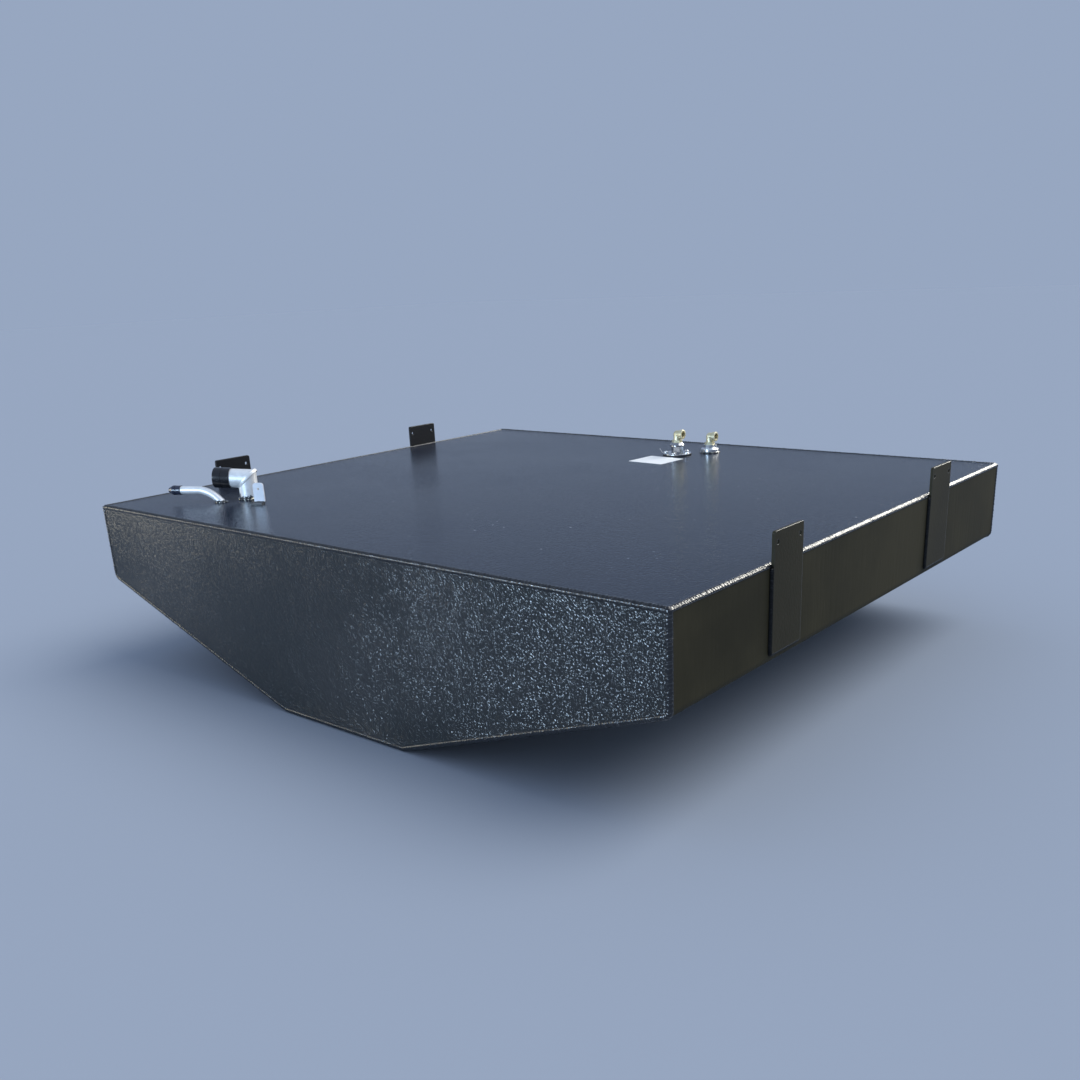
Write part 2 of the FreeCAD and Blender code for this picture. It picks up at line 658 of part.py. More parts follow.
def stud_place():
    """Where the terminal stud stands, measured from the middle of the flange."""
    angle = math.radians(STUD_ANGLE)
    return STUD_CIRCLE * math.cos(angle), STUD_CIRCLE * math.sin(angle)


def sender_gasket():
    """Flat ring between the lid and the flange."""
    ring = tube(FLANGE_RADIUS, FLANGE_OPENING_RADIUS, DEPTH, DEPTH + GASKET_PLATE)
    holes = screw_bars(SCREW_RADIUS + SCREW_HOLE_CLEARANCE, DEPTH - 1, DEPTH + GASKET_PLATE + 1)
    return placed(ring, FLANGE_X, FLANGE_Y).cut(holes)


def sender_flange():
    """Round plate with its rim edge eased, five screw holes, the pickup hole and the stud hole."""
    bottom = DEPTH + GASKET_PLATE
    disc = cylinder(FLANGE_RADIUS, bottom, FITTING_BASE)
    rim = [e for e in disc.Edges if len(e.Vertexes) == 1 and abs(e.BoundBox.ZMin - FITTING_BASE) < 1e-6]
    disc = disc.makeFillet(FLANGE_EDGE_RADIUS, rim)
    stud_x, stud_y = stud_place()
    disc = disc.cut([
        cylinder(DIP_TUBE_RADIUS, bottom - 1, FITTING_BASE + 1),
        cylinder(STUD_RADIUS, bottom - 1, FITTING_BASE + 1, stud_x, stud_y),
    ])
    holes = screw_bars(SCREW_RADIUS + SCREW_HOLE_CLEARANCE, bottom - 1, FITTING_BASE + 1)
    return placed(disc, FLANGE_X, FLANGE_Y).cut(holes)


def flange_screws():
    """Round-headed screws with a cross recess, through flange, gasket and lid."""
    screws = []
    heads = FITTING_BASE + SPADE_PLATE
    for i, shank in enumerate(screw_bars(SCREW_RADIUS, FITTING_BASE - SCREW_LENGTH, heads)):
        seat = heads if i == 0 else FITTING_BASE
        x, y = shank.CenterOfMass.x, shank.CenterOfMass.y
        shank = cylinder(SCREW_RADIUS, seat - SCREW_LENGTH, seat, x, y)
        head = cylinder(SCREW_HEAD_RADIUS, seat, seat + SCREW_HEAD_HEIGHT, x, y)
        crown = [e for e in head.Edges if len(e.Vertexes) == 1 and e.BoundBox.ZMin > seat + 0.1]
        head = head.makeFillet(SCREW_CROWN_RADIUS, crown)
        slot = Part.makeBox(SCREW_SLOT_LENGTH, SCREW_SLOT_WIDTH, SCREW_SLOT_DEPTH)
        slot_bottom = seat + SCREW_HEAD_HEIGHT - SCREW_SLOT_DEPTH
        slot.translate(V(-SCREW_SLOT_LENGTH / 2, -SCREW_SLOT_WIDTH / 2, slot_bottom))
        recess = [placed(slot, x, y), placed(slot, x, y, 90)]
        screws.append(shank.fuse(head).cut(recess))
    return Part.makeCompound(screws)


def flange_fitting():
    """Hexagon and domed collar, turned from one bar: bored for the elbow above and the dip tube below."""
    collar_bottom = FITTING_BASE + FITTING_HEX_HEIGHT
    dome = turned([
        (0, collar_bottom),
        (FITTING_COLLAR_RADIUS, collar_bottom),
        (FITTING_COLLAR_RADIUS, collar_bottom + FITTING_COLLAR_BAND),
        (FITTING_COLLAR_TOP_RADIUS, FITTING_TOP),
        (0, FITTING_TOP),
    ])
    body = hexagon(FITTING_HEX, FITTING_BASE, collar_bottom, FITTING_HEX_CORNER).fuse(dome)
    socket = cylinder(ELBOW_SHANK_RADIUS + SHANK_CLEARANCE, FITTING_TOP - ELBOW_SHANK_LENGTH, FITTING_TOP + 1)
    tube_seat = cylinder(DIP_TUBE_RADIUS, FITTING_BASE - 1, FITTING_BASE + DIP_TUBE_SEAT)
    passage = cylinder(ELBOW_PASSAGE_RADIUS, FITTING_BASE, FITTING_TOP)
    return body.cut([socket, tube_seat, passage])


def brass_elbow(seat):
    """Street elbow standing on a seat height, outlet towards +X, with its female port open."""
    axis = seat + ELBOW_AXIS_HEIGHT
    outlet = X_AXIS
    neck = cylinder(ELBOW_BODY_RADIUS, seat, axis)
    knee = Part.makeSphere(ELBOW_BODY_RADIUS, V(0, 0, axis))
    arm = Part.makeCylinder(ELBOW_BODY_RADIUS, ELBOW_OUTLET_REACH, V(0, 0, axis), outlet)
    start = ELBOW_OUTLET_REACH - ELBOW_COLLAR_LENGTH
    collar = Part.makeCylinder(ELBOW_COLLAR_RADIUS, ELBOW_COLLAR_LENGTH, V(start, 0, axis), outlet)
    collar = collar.makeFillet(ELBOW_EDGE_RADIUS, [e for e in collar.Edges if len(e.Vertexes) == 1])
    foot = hexagon(ELBOW_HEX, seat, seat + ELBOW_HEX_HEIGHT, FITTING_HEX_CORNER)
    shank = cylinder(ELBOW_SHANK_RADIUS, seat - ELBOW_SHANK_LENGTH, seat)
    body = neck.fuse([knee, arm, collar, foot, shank]).removeSplitter()
    port_start = ELBOW_OUTLET_REACH - ELBOW_PORT_DEPTH
    port = Part.makeCylinder(ELBOW_PORT_RADIUS, ELBOW_PORT_DEPTH + 1, V(port_start, 0, axis), outlet)
    across = Part.makeCylinder(ELBOW_PASSAGE_RADIUS, ELBOW_OUTLET_REACH, V(0, 0, axis), outlet)
    down = cylinder(ELBOW_PASSAGE_RADIUS, seat - ELBOW_SHANK_LENGTH - 1, axis)
    return body.cut([port, across, down])


def dip_tube():
    """Pickup tube from the fitting down into the strainer."""
    bottom = strainer_bottom() + STRAINER_HEIGHT - STRAINER_OVERLAP
    return tube(DIP_TUBE_RADIUS, DIP_TUBE_RADIUS - DIP_TUBE_WALL, bottom, FITTING_BASE + DIP_TUBE_SEAT)


def strainer_bottom():
    """Height of the strainer's foot, just above the inside of the keel."""
    return PLATE + STRAINER_CLEARANCE_BELOW


def pickup_strainer():
    """Cup-shaped strainer with a neck that grips the dip tube and long slots round its wall."""
    bottom = strainer_bottom()
    shoulder = bottom + STRAINER_HEIGHT - STRAINER_OVERLAP
    top = bottom + STRAINER_HEIGHT
    neck = DIP_TUBE_RADIUS + STRAINER_WALL
    body = turned([
        (0, bottom),
        (STRAINER_RADIUS, bottom),
        (STRAINER_RADIUS, shoulder - STRAINER_WALL),
        (neck, shoulder + STRAINER_WALL),
        (neck, top),
        (0, top),
    ])
    hollow = cylinder(STRAINER_RADIUS - STRAINER_WALL, bottom + STRAINER_WALL, shoulder - STRAINER_WALL)
    body = body.cut([hollow, cylinder(DIP_TUBE_RADIUS, shoulder - 2 * STRAINER_WALL, top)])
    slot_height = shoulder - bottom - 5 * STRAINER_WALL
    slots = []
    for i in range(4):
        slot = Part.makeBox(3 * STRAINER_RADIUS, 2 * STRAINER_WALL, slot_height)
        slot.translate(V(-1.5 * STRAINER_RADIUS, -STRAINER_WALL, bottom + 2 * STRAINER_WALL))
        slot.rotate(ORIGIN, UP, 45 * i)
        slots.append(slot)
    return body.cut(slots)


# Level sender. The float arm swings in the XZ plane, in front of the pickup.

def sender_pivot():
    """Middle of the pivot, on the front face of the resistor housing."""
    return V(0, -BRACKET_OFFSET - BRACKET_PLATE - HOUSING_THICKNESS, DEPTH - SENDER_PIVOT_DROP)


def hang_angle(drop):
    """How far the arm swings below level to lower its end by a drop. A shorter arm hangs straight down."""
    return math.asin(min(drop / ARM_LENGTH, 1))


def arm_direction():
    """Direction of the arm in an empty tank, its float just clear of the keel and of the sloping panel."""
    clear = FLOAT_RADIUS + FLOAT_CLEARANCE
    height = sender_pivot().z - PLATE
    keel_edge = section_points(PLATE, DEPTH, 0)[2].x
    to_slope = (keel_edge - FLANGE_X) * math.sin(SLOPE) + height * math.cos(SLOPE)
    angle = min(hang_angle(height - clear), hang_angle(to_slope - clear) - SLOPE)
    return V(math.cos(angle), 0, -math.sin(angle))


def sender_bracket():
    """Strip that hangs from the flange, with a foot bent forwards under it."""
    top = DEPTH + GASKET_PLATE
    bottom = sender_pivot().z - HOUSING_HEIGHT / 2
    back = -BRACKET_OFFSET
    front = back - BRACKET_PLATE
    toe = front - BRACKET_FOOT
    profile = [V(-BRACKET_WIDTH / 2, y, z) for y, z in (
        (front, bottom), (back, bottom), (back, top), (toe, top), (toe, top - BRACKET_PLATE),
        (front, top - BRACKET_PLATE))]
    radii = [0, 0, BRACKET_BEND_RADIUS + BRACKET_PLATE, 0, 0, BRACKET_BEND_RADIUS]
    return plate_of(outline(profile, radii), BRACKET_WIDTH, X_AXIS)


def sender_housing():
    """Moulded resistor housing on the bracket, with the fixed pivot pin standing out of it."""
    pivot = sender_pivot()
    half_width, half_height = HOUSING_WIDTH / 2, HOUSING_HEIGHT / 2
    corners = [V(sx * half_width, pivot.y, pivot.z + sz * half_height) for sx, sz in (
        (-1, -1), (1, -1), (1, 1), (-1, 1))]
    case = plate_of(outline(corners, [HOUSING_CORNER_RADIUS] * 4), HOUSING_THICKNESS, Y_AXIS)
    pin = Part.makeCylinder(PIVOT_PIN_RADIUS, PIVOT_PIN_LENGTH, pivot, Y_AXIS * -1)
    return case.fuse(pin).removeSplitter()


def float_arm():
    """Hub on the pivot pin with a wire that runs out and turns into the float."""
    pivot = sender_pivot()
    hub_back = pivot - Y_AXIS * ARM_GAP
    hub = Part.makeCylinder(ARM_HUB_RADIUS, ARM_HUB_LENGTH, hub_back, Y_AXIS * -1)
    wire_y = hub_back.y - ARM_HUB_LENGTH / 2
    hub_middle = V(pivot.x, wire_y, pivot.z)
    start = hub_middle + arm_direction() * (PIVOT_PIN_RADIUS + ARM_WIRE_RADIUS)
    end = hub_middle + arm_direction() * ARM_LENGTH
    tail = end - Y_AXIS * (FLOAT_LENGTH + 4 * ARM_WIRE_RADIUS)
    wire = round_bar(bent_path([start, end, tail], 4 * ARM_WIRE_RADIUS), ARM_WIRE_RADIUS)
    bore = Part.makeCylinder(
        PIVOT_PIN_RADIUS + PIVOT_CLEARANCE, 3 * ARM_HUB_LENGTH, pivot + Y_AXIS * ARM_HUB_LENGTH, Y_AXIS * -1)
    return hub.fuse(wire).cut(bore)


def gauge_float():
    """Foam float threaded on the end of the arm."""
    bend = ARM_GAP + ARM_HUB_LENGTH / 2 + 5 * ARM_WIRE_RADIUS
    centre = sender_pivot() + arm_direction() * ARM_LENGTH - Y_AXIS * bend
    body = Part.makeCylinder(FLOAT_RADIUS, FLOAT_LENGTH - 2 * ARM_WIRE_RADIUS, centre, Y_AXIS * -1)
    body = body.makeFillet(FLOAT_EDGE_RADIUS, [e for e in body.Edges if len(e.Vertexes) == 1])
    behind = centre + Y_AXIS * (FLOAT_LENGTH / 2)
    bore = Part.makeCylinder(ARM_WIRE_RADIUS, 2 * FLOAT_LENGTH, behind, Y_AXIS * -1)
    return body.cut(bore)


# Terminals

def sender_terminal():
    """Threaded stud with its insulating washer and nut."""
    x, y = stud_place()
    stud = cylinder(STUD_RADIUS, DEPTH - PLATE, FITTING_BASE + STUD_RISE, x, y)
    washer = cylinder(STUD_WASHER_RADIUS, FITTING_BASE, FITTING_BASE + STUD_WASHER_HEIGHT, x, y)
    nut_base = FITTING_BASE + STUD_WASHER_HEIGHT
    nut = hexagon(STUD_NUT, nut_base, nut_base + STUD_NUT_HEIGHT, STUD_ANGLE + 30)
    return stud.fuse([washer, placed(nut, x, y)]).removeSplitter()


def ground_terminal():
    """Spade under the first flange screw: a flat foot with a hole and a blade bent up and outwards."""
    lift = math.radians(SPADE_LIFT)
    reach = SPADE_FOOT + SPADE_BLADE * math.cos(lift)
    height = FITTING_BASE + SPADE_BLADE * math.sin(lift)
    top_in = SPADE_PLATE * math.tan(lift / 2)
    profile = [V(x, -SPADE_WIDTH / 2, z) for x, z in (
        (-SPADE_FOOT, FITTING_BASE), (SPADE_FOOT, FITTING_BASE), (reach, height),
        (reach - SPADE_PLATE * math.sin(lift), height + SPADE_PLATE * math.cos(lift)),
        (SPADE_FOOT - top_in, FITTING_BASE + SPADE_PLATE), (-SPADE_FOOT, FITTING_BASE + SPADE_PLATE))]
    strip = plate_of(outline(profile, [0] * 6), SPADE_WIDTH, Y_AXIS)
    strip = strip.cut(cylinder(SCREW_RADIUS + SCREW_HOLE_CLEARANCE, FITTING_BASE - 1, FITTING_BASE + 2))
    angle = math.radians(FLANGE_SCREW_START)
    x = FLANGE_X + FLANGE_SCREW_CIRCLE * math.cos(angle)
    y = FLANGE_Y + FLANGE_SCREW_CIRCLE * math.sin(angle)
    return placed(strip, x, y, FLANGE_SCREW_START)


# Return fitting

def return_bung():
    """Round boss with an eased top edge and a spigot through the lid."""
    top = DEPTH + BUNG_HEIGHT
    boss = cylinder(BUNG_RADIUS, DEPTH, top)
    crown = [e for e in boss.Edges if len(e.Vertexes) == 1 and abs(e.BoundBox.ZMin - top) < 1e-6]
    boss = boss.makeFillet(BUNG_EDGE_RADIUS, crown)
    spigot = cylinder(BUNG_SPIGOT_RADIUS, DEPTH - PLATE - BUNG_SPIGOT_DROP, DEPTH)
    bore = cylinder(BUSHING_SHANK_RADIUS, DEPTH - 3 * PLATE, top + 1)
    return boss.fuse(spigot).cut(bore).removeSplitter()


def return_bushing():
    """Hexagon reducing bushing screwed into the bung."""
    seat = DEPTH + BUNG_HEIGHT
    body = hexagon(BUSHING_HEX, seat, BUSHING_TOP, FITTING_HEX_CORNER)
    body = body.fuse(cylinder(BUSHING_SHANK_RADIUS, seat - BUSHING_SHANK_LENGTH, seat))
    socket = cylinder(ELBOW_SHANK_RADIUS + SHANK_CLEARANCE, BUSHING_TOP - ELBOW_SHANK_LENGTH, BUSHING_TOP + 1)
    passage = cylinder(RETURN_TUBE_RADIUS, seat - BUSHING_SHANK_LENGTH, BUSHING_TOP)
    return body.cut([socket, passage]).removeSplitter()


def return_drop_tube():
    """Thin tube pressed into the bushing, so that returning fuel enters low down."""
    top = BUSHING_TOP - ELBOW_SHANK_LENGTH
    return tube(RETURN_TUBE_RADIUS, RETURN_TUBE_RADIUS - RETURN_TUBE_WALL, top - RETURN_TUBE_LENGTH, top)


def label():
    """Blank sticker on the lid."""
    half_x, half_y = LABEL_WIDTH / 2, LABEL_LENGTH / 2
    corners = [V(x, y, DEPTH) for x, y in (
        (-half_x, -half_y), (half_x, -half_y), (half_x, half_y), (-half_x, half_y))]
    return plate_of(outline(corners, [LABEL_CORNER_RADIUS] * 4), LABEL_THICKNESS, UP)


# Assembly

def add_body():
    front = front_end_plate()
    nodes["belly_shell"] = belly_shell()
    nodes["top_plate"] = top_plate()
    nodes["front_end_plate"] = front
    nodes["rear_end_plate"] = mirrored_end(front)
    nodes["front_baffle"] = placed(baffle(), 0, -BAFFLE_PITCH / 2)
    nodes["rear_baffle"] = placed(baffle(), 0, BAFFLE_PITCH / 2)
    seam = front_seam_weld()
    nodes["front_seam_weld"] = seam
    nodes["rear_seam_weld"] = mirrored_end(seam)
    nodes["top_seam_weld"] = top_seam_weld()


def add_tabs():
    welds = []
    for side, side_name, shift, rise in (
            (1, "right", RIGHT_TAB_SHIFT, RIGHT_TAB_RISE), (-1, "left", LEFT_TAB_SHIFT, LEFT_TAB_RISE)):
        for end, end_name in ((-1, "front"), (1, "rear")):
            centre_y = shift + end * TAB_PITCH / 2
            tab = mounting_tab(side, centre_y, rise)
            welds.append(tab_weld(side, centre_y, rise, tab))
            nodes[f"mounting_tab_{side_name}_{end_name}"] = tab
    nodes["tab_welds"] = Part.makeCompound(welds)


def add_filler_and_vent():
    riser, outlet = filler_tubes()
    base_weld = fillet_ring(FILLER_RADIUS, DEPTH, FILLER_WELD_LEG)
    filler_parts = {
        "filler_riser": riser,
        "filler_outlet": outlet,
        "filler_mitre_weld": mitre_weld(),
        "filler_base_weld": base_weld,
        "filler_cap": filler_cap(),
    }
    for name, shape in filler_parts.items():
        nodes[name] = placed(shape, FILLER_X, FILLER_Y, FILLER_DIRECTION)
    vent_parts = {"vent_tube": vent_tube(), "vent_base_weld": vent_weld(), "vent_cap": vent_cap()}
    for name, shape in vent_parts.items():
        nodes[name] = placed(shape, VENT_X, VENT_Y, VENT_DIRECTION)
    nodes["bonding_tab"] = placed(bonding_tab(), BOND_X, BOND_Y, BOND_FACING)


def add_gauge_flange():
    nodes["sender_gasket"] = sender_gasket()
    nodes["sender_flange"] = sender_flange()
    nodes["flange_screws"] = flange_screws()
    nodes["ground_terminal"] = ground_terminal()
    parts = {
        "flange_fitting": flange_fitting(),
        "pickup_elbow": brass_elbow(FITTING_TOP),
        "pickup_dip_tube": dip_tube(),
        "pickup_strainer": pickup_strainer(),
        "sender_terminal": sender_terminal(),
        "sender_bracket": sender_bracket(),
        "sender_housing": sender_housing(),
        "float_arm": float_arm(),
        "gauge_float": gauge_float(),
    }
    for name, shape in parts.items():
        nodes[name] = placed(shape, FLANGE_X, FLANGE_Y)


def add_return_fitting():
    parts = {
        "return_bung": return_bung(),
        "return_bung_weld": fillet_ring(BUNG_RADIUS, DEPTH, BUNG_WELD_LEG),
        "return_bushing": return_bushing(),
        "return_elbow": brass_elbow(BUSHING_TOP),
        "return_drop_tube": return_drop_tube(),
    }
    for name, shape in parts.items():
        nodes[name] = placed(shape, RETURN_X, RETURN_Y)


add_body()
add_tabs()
add_filler_and_vent()
add_gauge_flange()
add_return_fitting()
nodes["label"] = placed(label(), LABEL_X, LABEL_Y, LABEL_TURN)

os.makedirs("parts", exist_ok=True)
for name, shape in nodes.items():
    shape.exportStep(f"parts/{name}.step")
    print(f"{name}: {len(shape.Solids)} solids, {shape.Volume / 1000:.2f} cm3, valid {shape.isValid()}")
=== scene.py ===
import math

import bmesh
import bpy
import numpy as np
from mathutils import Matrix, Vector


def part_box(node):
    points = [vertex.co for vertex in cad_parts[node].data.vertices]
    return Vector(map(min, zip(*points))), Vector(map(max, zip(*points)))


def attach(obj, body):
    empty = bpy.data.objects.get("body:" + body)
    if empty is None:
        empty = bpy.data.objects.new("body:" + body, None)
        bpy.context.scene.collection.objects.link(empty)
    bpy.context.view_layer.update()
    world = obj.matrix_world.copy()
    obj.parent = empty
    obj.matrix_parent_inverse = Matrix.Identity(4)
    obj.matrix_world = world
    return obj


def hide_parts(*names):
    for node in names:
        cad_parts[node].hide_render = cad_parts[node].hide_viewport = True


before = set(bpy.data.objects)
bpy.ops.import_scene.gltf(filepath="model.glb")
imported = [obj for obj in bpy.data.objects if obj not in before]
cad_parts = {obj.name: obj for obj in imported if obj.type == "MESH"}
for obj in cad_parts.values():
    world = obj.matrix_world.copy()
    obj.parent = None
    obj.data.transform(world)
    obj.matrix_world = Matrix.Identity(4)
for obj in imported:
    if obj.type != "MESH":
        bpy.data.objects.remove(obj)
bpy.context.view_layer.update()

# Tank body: a belly sheet with four bends, a flat end plate at each end and a lid, all of aluminium plate and
# coated black. The sprayed coat dried with an orange peel: coarse and slanting on the ends, finer on the lid,
# and nearly smooth with faint upright runs on the sides.


def put(tree, kind, inputs, **settings):
    """Add a shader node: its options, and a value or another node's socket for each named input."""
    made = tree.nodes.new("ShaderNode" + kind)
    for option, value in settings.items():
        setattr(made, option, value)
    for socket, value in inputs.items():
        if isinstance(value, bpy.types.NodeSocket):
            tree.links.new(value, made.inputs[socket])
        else:
            made.inputs[socket].default_value = value
    return made


def sums(tree, operation, *terms):
    """Result of one sum on numbers or sockets."""
    return put(tree, "Math", dict(enumerate(terms)), operation=operation).outputs[0]


def ramp(tree, value, low, high, to_low=0.0, to_high=1.0):
    """Value moved smoothly from one range to another."""
    limits = {"Value": value, "From Min": low, "From Max": high, "To Min": to_low, "To Max": to_high}
    return put(tree, "MapRange", limits, interpolation_type="SMOOTHSTEP").outputs["Result"]


def mixed(tree, share, first, second):
    """Blend of two colours, given as numbers or sockets."""
    colours = [colour if isinstance(colour, bpy.types.NodeSocket) else (*colour, 1)
               for colour in (first, second)]
    return put(tree, "Mix", {0: share, 6: colours[0], 7: colours[1]}, data_type="RGBA").outputs[2]


def new_group(name, inputs, outputs):
    """Empty node group with named sockets, with its inputs and outputs."""
    group = bpy.data.node_groups.new(name, "ShaderNodeTree")
    for socket, kind in inputs.items():
        group.interface.new_socket(name=socket, in_out="INPUT", socket_type="NodeSocket" + kind)
    for socket, kind in outputs.items():
        group.interface.new_socket(name=socket, in_out="OUTPUT", socket_type="NodeSocket" + kind)
    return group, group.nodes.new("NodeGroupInput").outputs, group.nodes.new("NodeGroupOutput").inputs


def coat_peel_group():
    """Orange peel of a sprayed coat: the height of its grains, sparse nibs of dust and slow clouds."""
    group, given, result = new_group(
        "coat peel",
        {"Grain Size": "Vector", "Lie": "Vector", "Nib Spacing": "Float", "Calm Left": "Float"},
        {"Height": "Float", "Nibs": "Float", "Cloud": "Float"})
    place = put(group, "TexCoord", {}).outputs["Object"]
    lying = put(group, "Mapping", {"Vector": place, "Rotation": given["Lie"], "Scale": given["Grain Size"]},
                vector_type="TEXTURE").outputs["Vector"]
    waves = put(group, "TexNoise", {"Vector": lying, "Scale": 1.0, "Detail": 2.0, "Roughness": 0.45})
    grains = put(group, "TexVoronoi", {"Vector": lying, "Scale": 0.62, "Smoothness": 0.12}, feature="SMOOTH_F1")
    luck = put(group, "SeparateColor", {"Color": grains.outputs["Color"]}).outputs[0]
    steepness = sums(group, "MULTIPLY_ADD", luck, -1.0, -0.5)
    domes = sums(group, "MULTIPLY", grains.outputs["Distance"], steepness)
    peel = sums(group, "MULTIPLY_ADD", waves.outputs["Fac"], 0.15, domes)
    per_metre = sums(group, "DIVIDE", 1.0, given["Nib Spacing"])
    dust_and_glint = put(group, "TexVoronoi", {"Vector": place, "Scale": per_metre})
    cloud = put(group, "TexNoise", {"Vector": place, "Scale": 3.0, "Detail": 6.0, "Roughness": 0.6})
    across = put(group, "SeparateXYZ", {"Vector": place}).outputs["X"]
    patches = ramp(group, cloud.outputs["Fac"], 0.38, 0.62, 0.75, 1.15)
    strength = sums(group, "MULTIPLY", ramp(group, across, -0.65, 0.6, given["Calm Left"], 1.0), patches)
    group.links.new(sums(group, "MULTIPLY", peel, strength), result["Height"])
    chance = put(group, "SeparateColor", {"Color": dust_and_glint.outputs["Color"]}).outputs[0]
    reach = sums(group, "MULTIPLY_ADD", chance, 0.08, 0.01)
    nibs = ramp(group, dust_and_glint.outputs["Distance"], reach, sums(group, "MULTIPLY", reach, 0.6))
    group.links.new(nibs, result["Nibs"])
    group.links.new(cloud.outputs["Fac"], result["Cloud"])
    return group


coat_peel = coat_peel_group()


def new_material(name):
    """Material with only its Principled shader, its node tree and that shader."""
    material = bpy.data.materials.new(name)
    material.use_nodes = True
    return material, material.node_tree, material.node_tree.nodes["Principled BSDF"]


def coat_material(name, dark, light, grain, lie, depth, nib_spacing, roughness, gloss=0.2, soft_edge=0.0006,
                  dust_and_glint=0.0, calm_left=1.0):
    """Black coat with its own size of grain (m), lie of the grain (degrees) and depth of the grain (m)."""
    material, tree, shader = new_material(name)
    peel = put(tree, "Group", {}, node_tree=coat_peel)
    peel.inputs["Grain Size"].default_value = grain
    peel.inputs["Lie"].default_value = [math.radians(turn) for turn in lie]
    peel.inputs["Nib Spacing"].default_value = nib_spacing
    peel.inputs["Calm Left"].default_value = calm_left
    cloud = ramp(tree, peel.outputs["Cloud"], 0.35, 0.65)
    height = sums(tree, "MULTIPLY_ADD", peel.outputs["Nibs"], 0.8, peel.outputs["Height"])
    edge = put(tree, "Bevel", {"Radius": soft_edge}, samples=6).outputs["Normal"]
    flat = put(tree, "NewGeometry", {}).outputs["True Normal"]
    alike = put(tree, "VectorMath", {0: edge, 1: flat}, operation="DOT_PRODUCT").outputs["Value"]
    tree.links.new(ramp(tree, alike, 0.995, 0.95), shader.inputs["Coat Weight"])
    tree.links.new(edge, shader.inputs["Coat Normal"])
    shader.inputs["Coat Roughness"].default_value = 0.2
    bump = put(tree, "Bump", {"Height": height, "Distance": depth, "Strength": 1.0, "Normal": edge})
    # The nibs are real dust raised in the coat; their lighter blue-grey colour is a painted glint.
    nib_glint_share = sums(tree, "MULTIPLY", peel.outputs["Nibs"], dust_and_glint)
    colour = mixed(tree, nib_glint_share, mixed(tree, cloud, dark, light), (0.30, 0.33, 0.38))
    tree.links.new(colour, shader.inputs["Base Color"])
    tree.links.new(ramp(tree, peel.outputs["Cloud"], 0.3, 0.7, *roughness), shader.inputs["Roughness"])
    tree.links.new(bump.outputs["Normal"], shader.inputs["Normal"])
    shader.inputs["Specular IOR Level"].default_value = gloss
    return material


def finish_with(material, *nodes):
    """Give CAD pieces a material in place of their plain one."""
    for node in nodes:
        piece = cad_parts[node]
        piece.data.materials.clear()
        piece.data.materials.append(material)


# One black coat covers all the plates. The bluish tone of the lid is a painted sky reflection, and the lighter
# olive tone of the sides is painted warm light.
end_coat = coat_material(
    "coarse slanting coat", dark=(0.013, 0.015, 0.016), light=(0.021, 0.022, 0.023),
    grain=(0.0014, 0.0014, 0.0032), lie=(0, -55, 0), depth=0.0010, nib_spacing=0.03, roughness=(0.045, 0.07),
    gloss=0.38, calm_left=0.4)
side_coat = coat_material(
    "smooth coat of the sides", dark=(0.025, 0.022, 0.011), light=(0.042, 0.037, 0.020),
    grain=(0.006, 0.006, 0.05), lie=(0, 0, 0), depth=0.00012, nib_spacing=0.05, roughness=(0.56, 0.64),
    gloss=0.1)
lid_coat = coat_material(
    "fine coat of the lid", dark=(0.008, 0.013, 0.025), light=(0.011, 0.017, 0.032),
    grain=(0.0022, 0.0022, 0.0022), lie=(0, 0, 0), depth=0.00027, nib_spacing=0.032, roughness=(0.13, 0.17),
    gloss=0.16, dust_and_glint=0.5)
finish_with(end_coat, "front_end_plate", "rear_end_plate")
finish_with(side_coat, "belly_shell")
finish_with(lid_coat, "top_plate")

# Seam welds: the beads that close the open corner joints, laid by hand in short overlapping ripples and coated
# with the rest. They stand a little proud of both plates and are rounded where three plates meet.


def skin(name, rings, closed, material):
    """Piece with a closed skin through rings of points; its ends are capped unless the run is closed."""
    count, around = rings.shape[:2]
    first = np.arange(count if closed else count - 1)[:, None] * around
    following = (first + around) % (count * around)
    side, next_side = np.arange(around), (np.arange(around) + 1) % around
    quads = np.stack([first + side, first + next_side, following + next_side, following + side], axis=2)
    faces = quads.reshape(-1, 4).tolist()
    if not closed:
        faces += [list(range(around)), list(range((count - 1) * around, count * around))]
    mesh = bpy.data.meshes.new(name)
    mesh.from_pydata(rings.reshape(-1, 3).tolist(), [], faces)
    shaped = bmesh.new()
    shaped.from_mesh(mesh)
    bmesh.ops.recalc_face_normals(shaped, faces=shaped.faces)
    shaped.to_mesh(mesh)
    shaped.free()
    mesh.polygons.foreach_set("use_smooth", [True] * len(mesh.polygons))
    mesh.materials.append(material)
    piece = bpy.data.objects.new(name, mesh)
    bpy.context.scene.collection.objects.link(piece)
    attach(piece, "tank")
    return piece


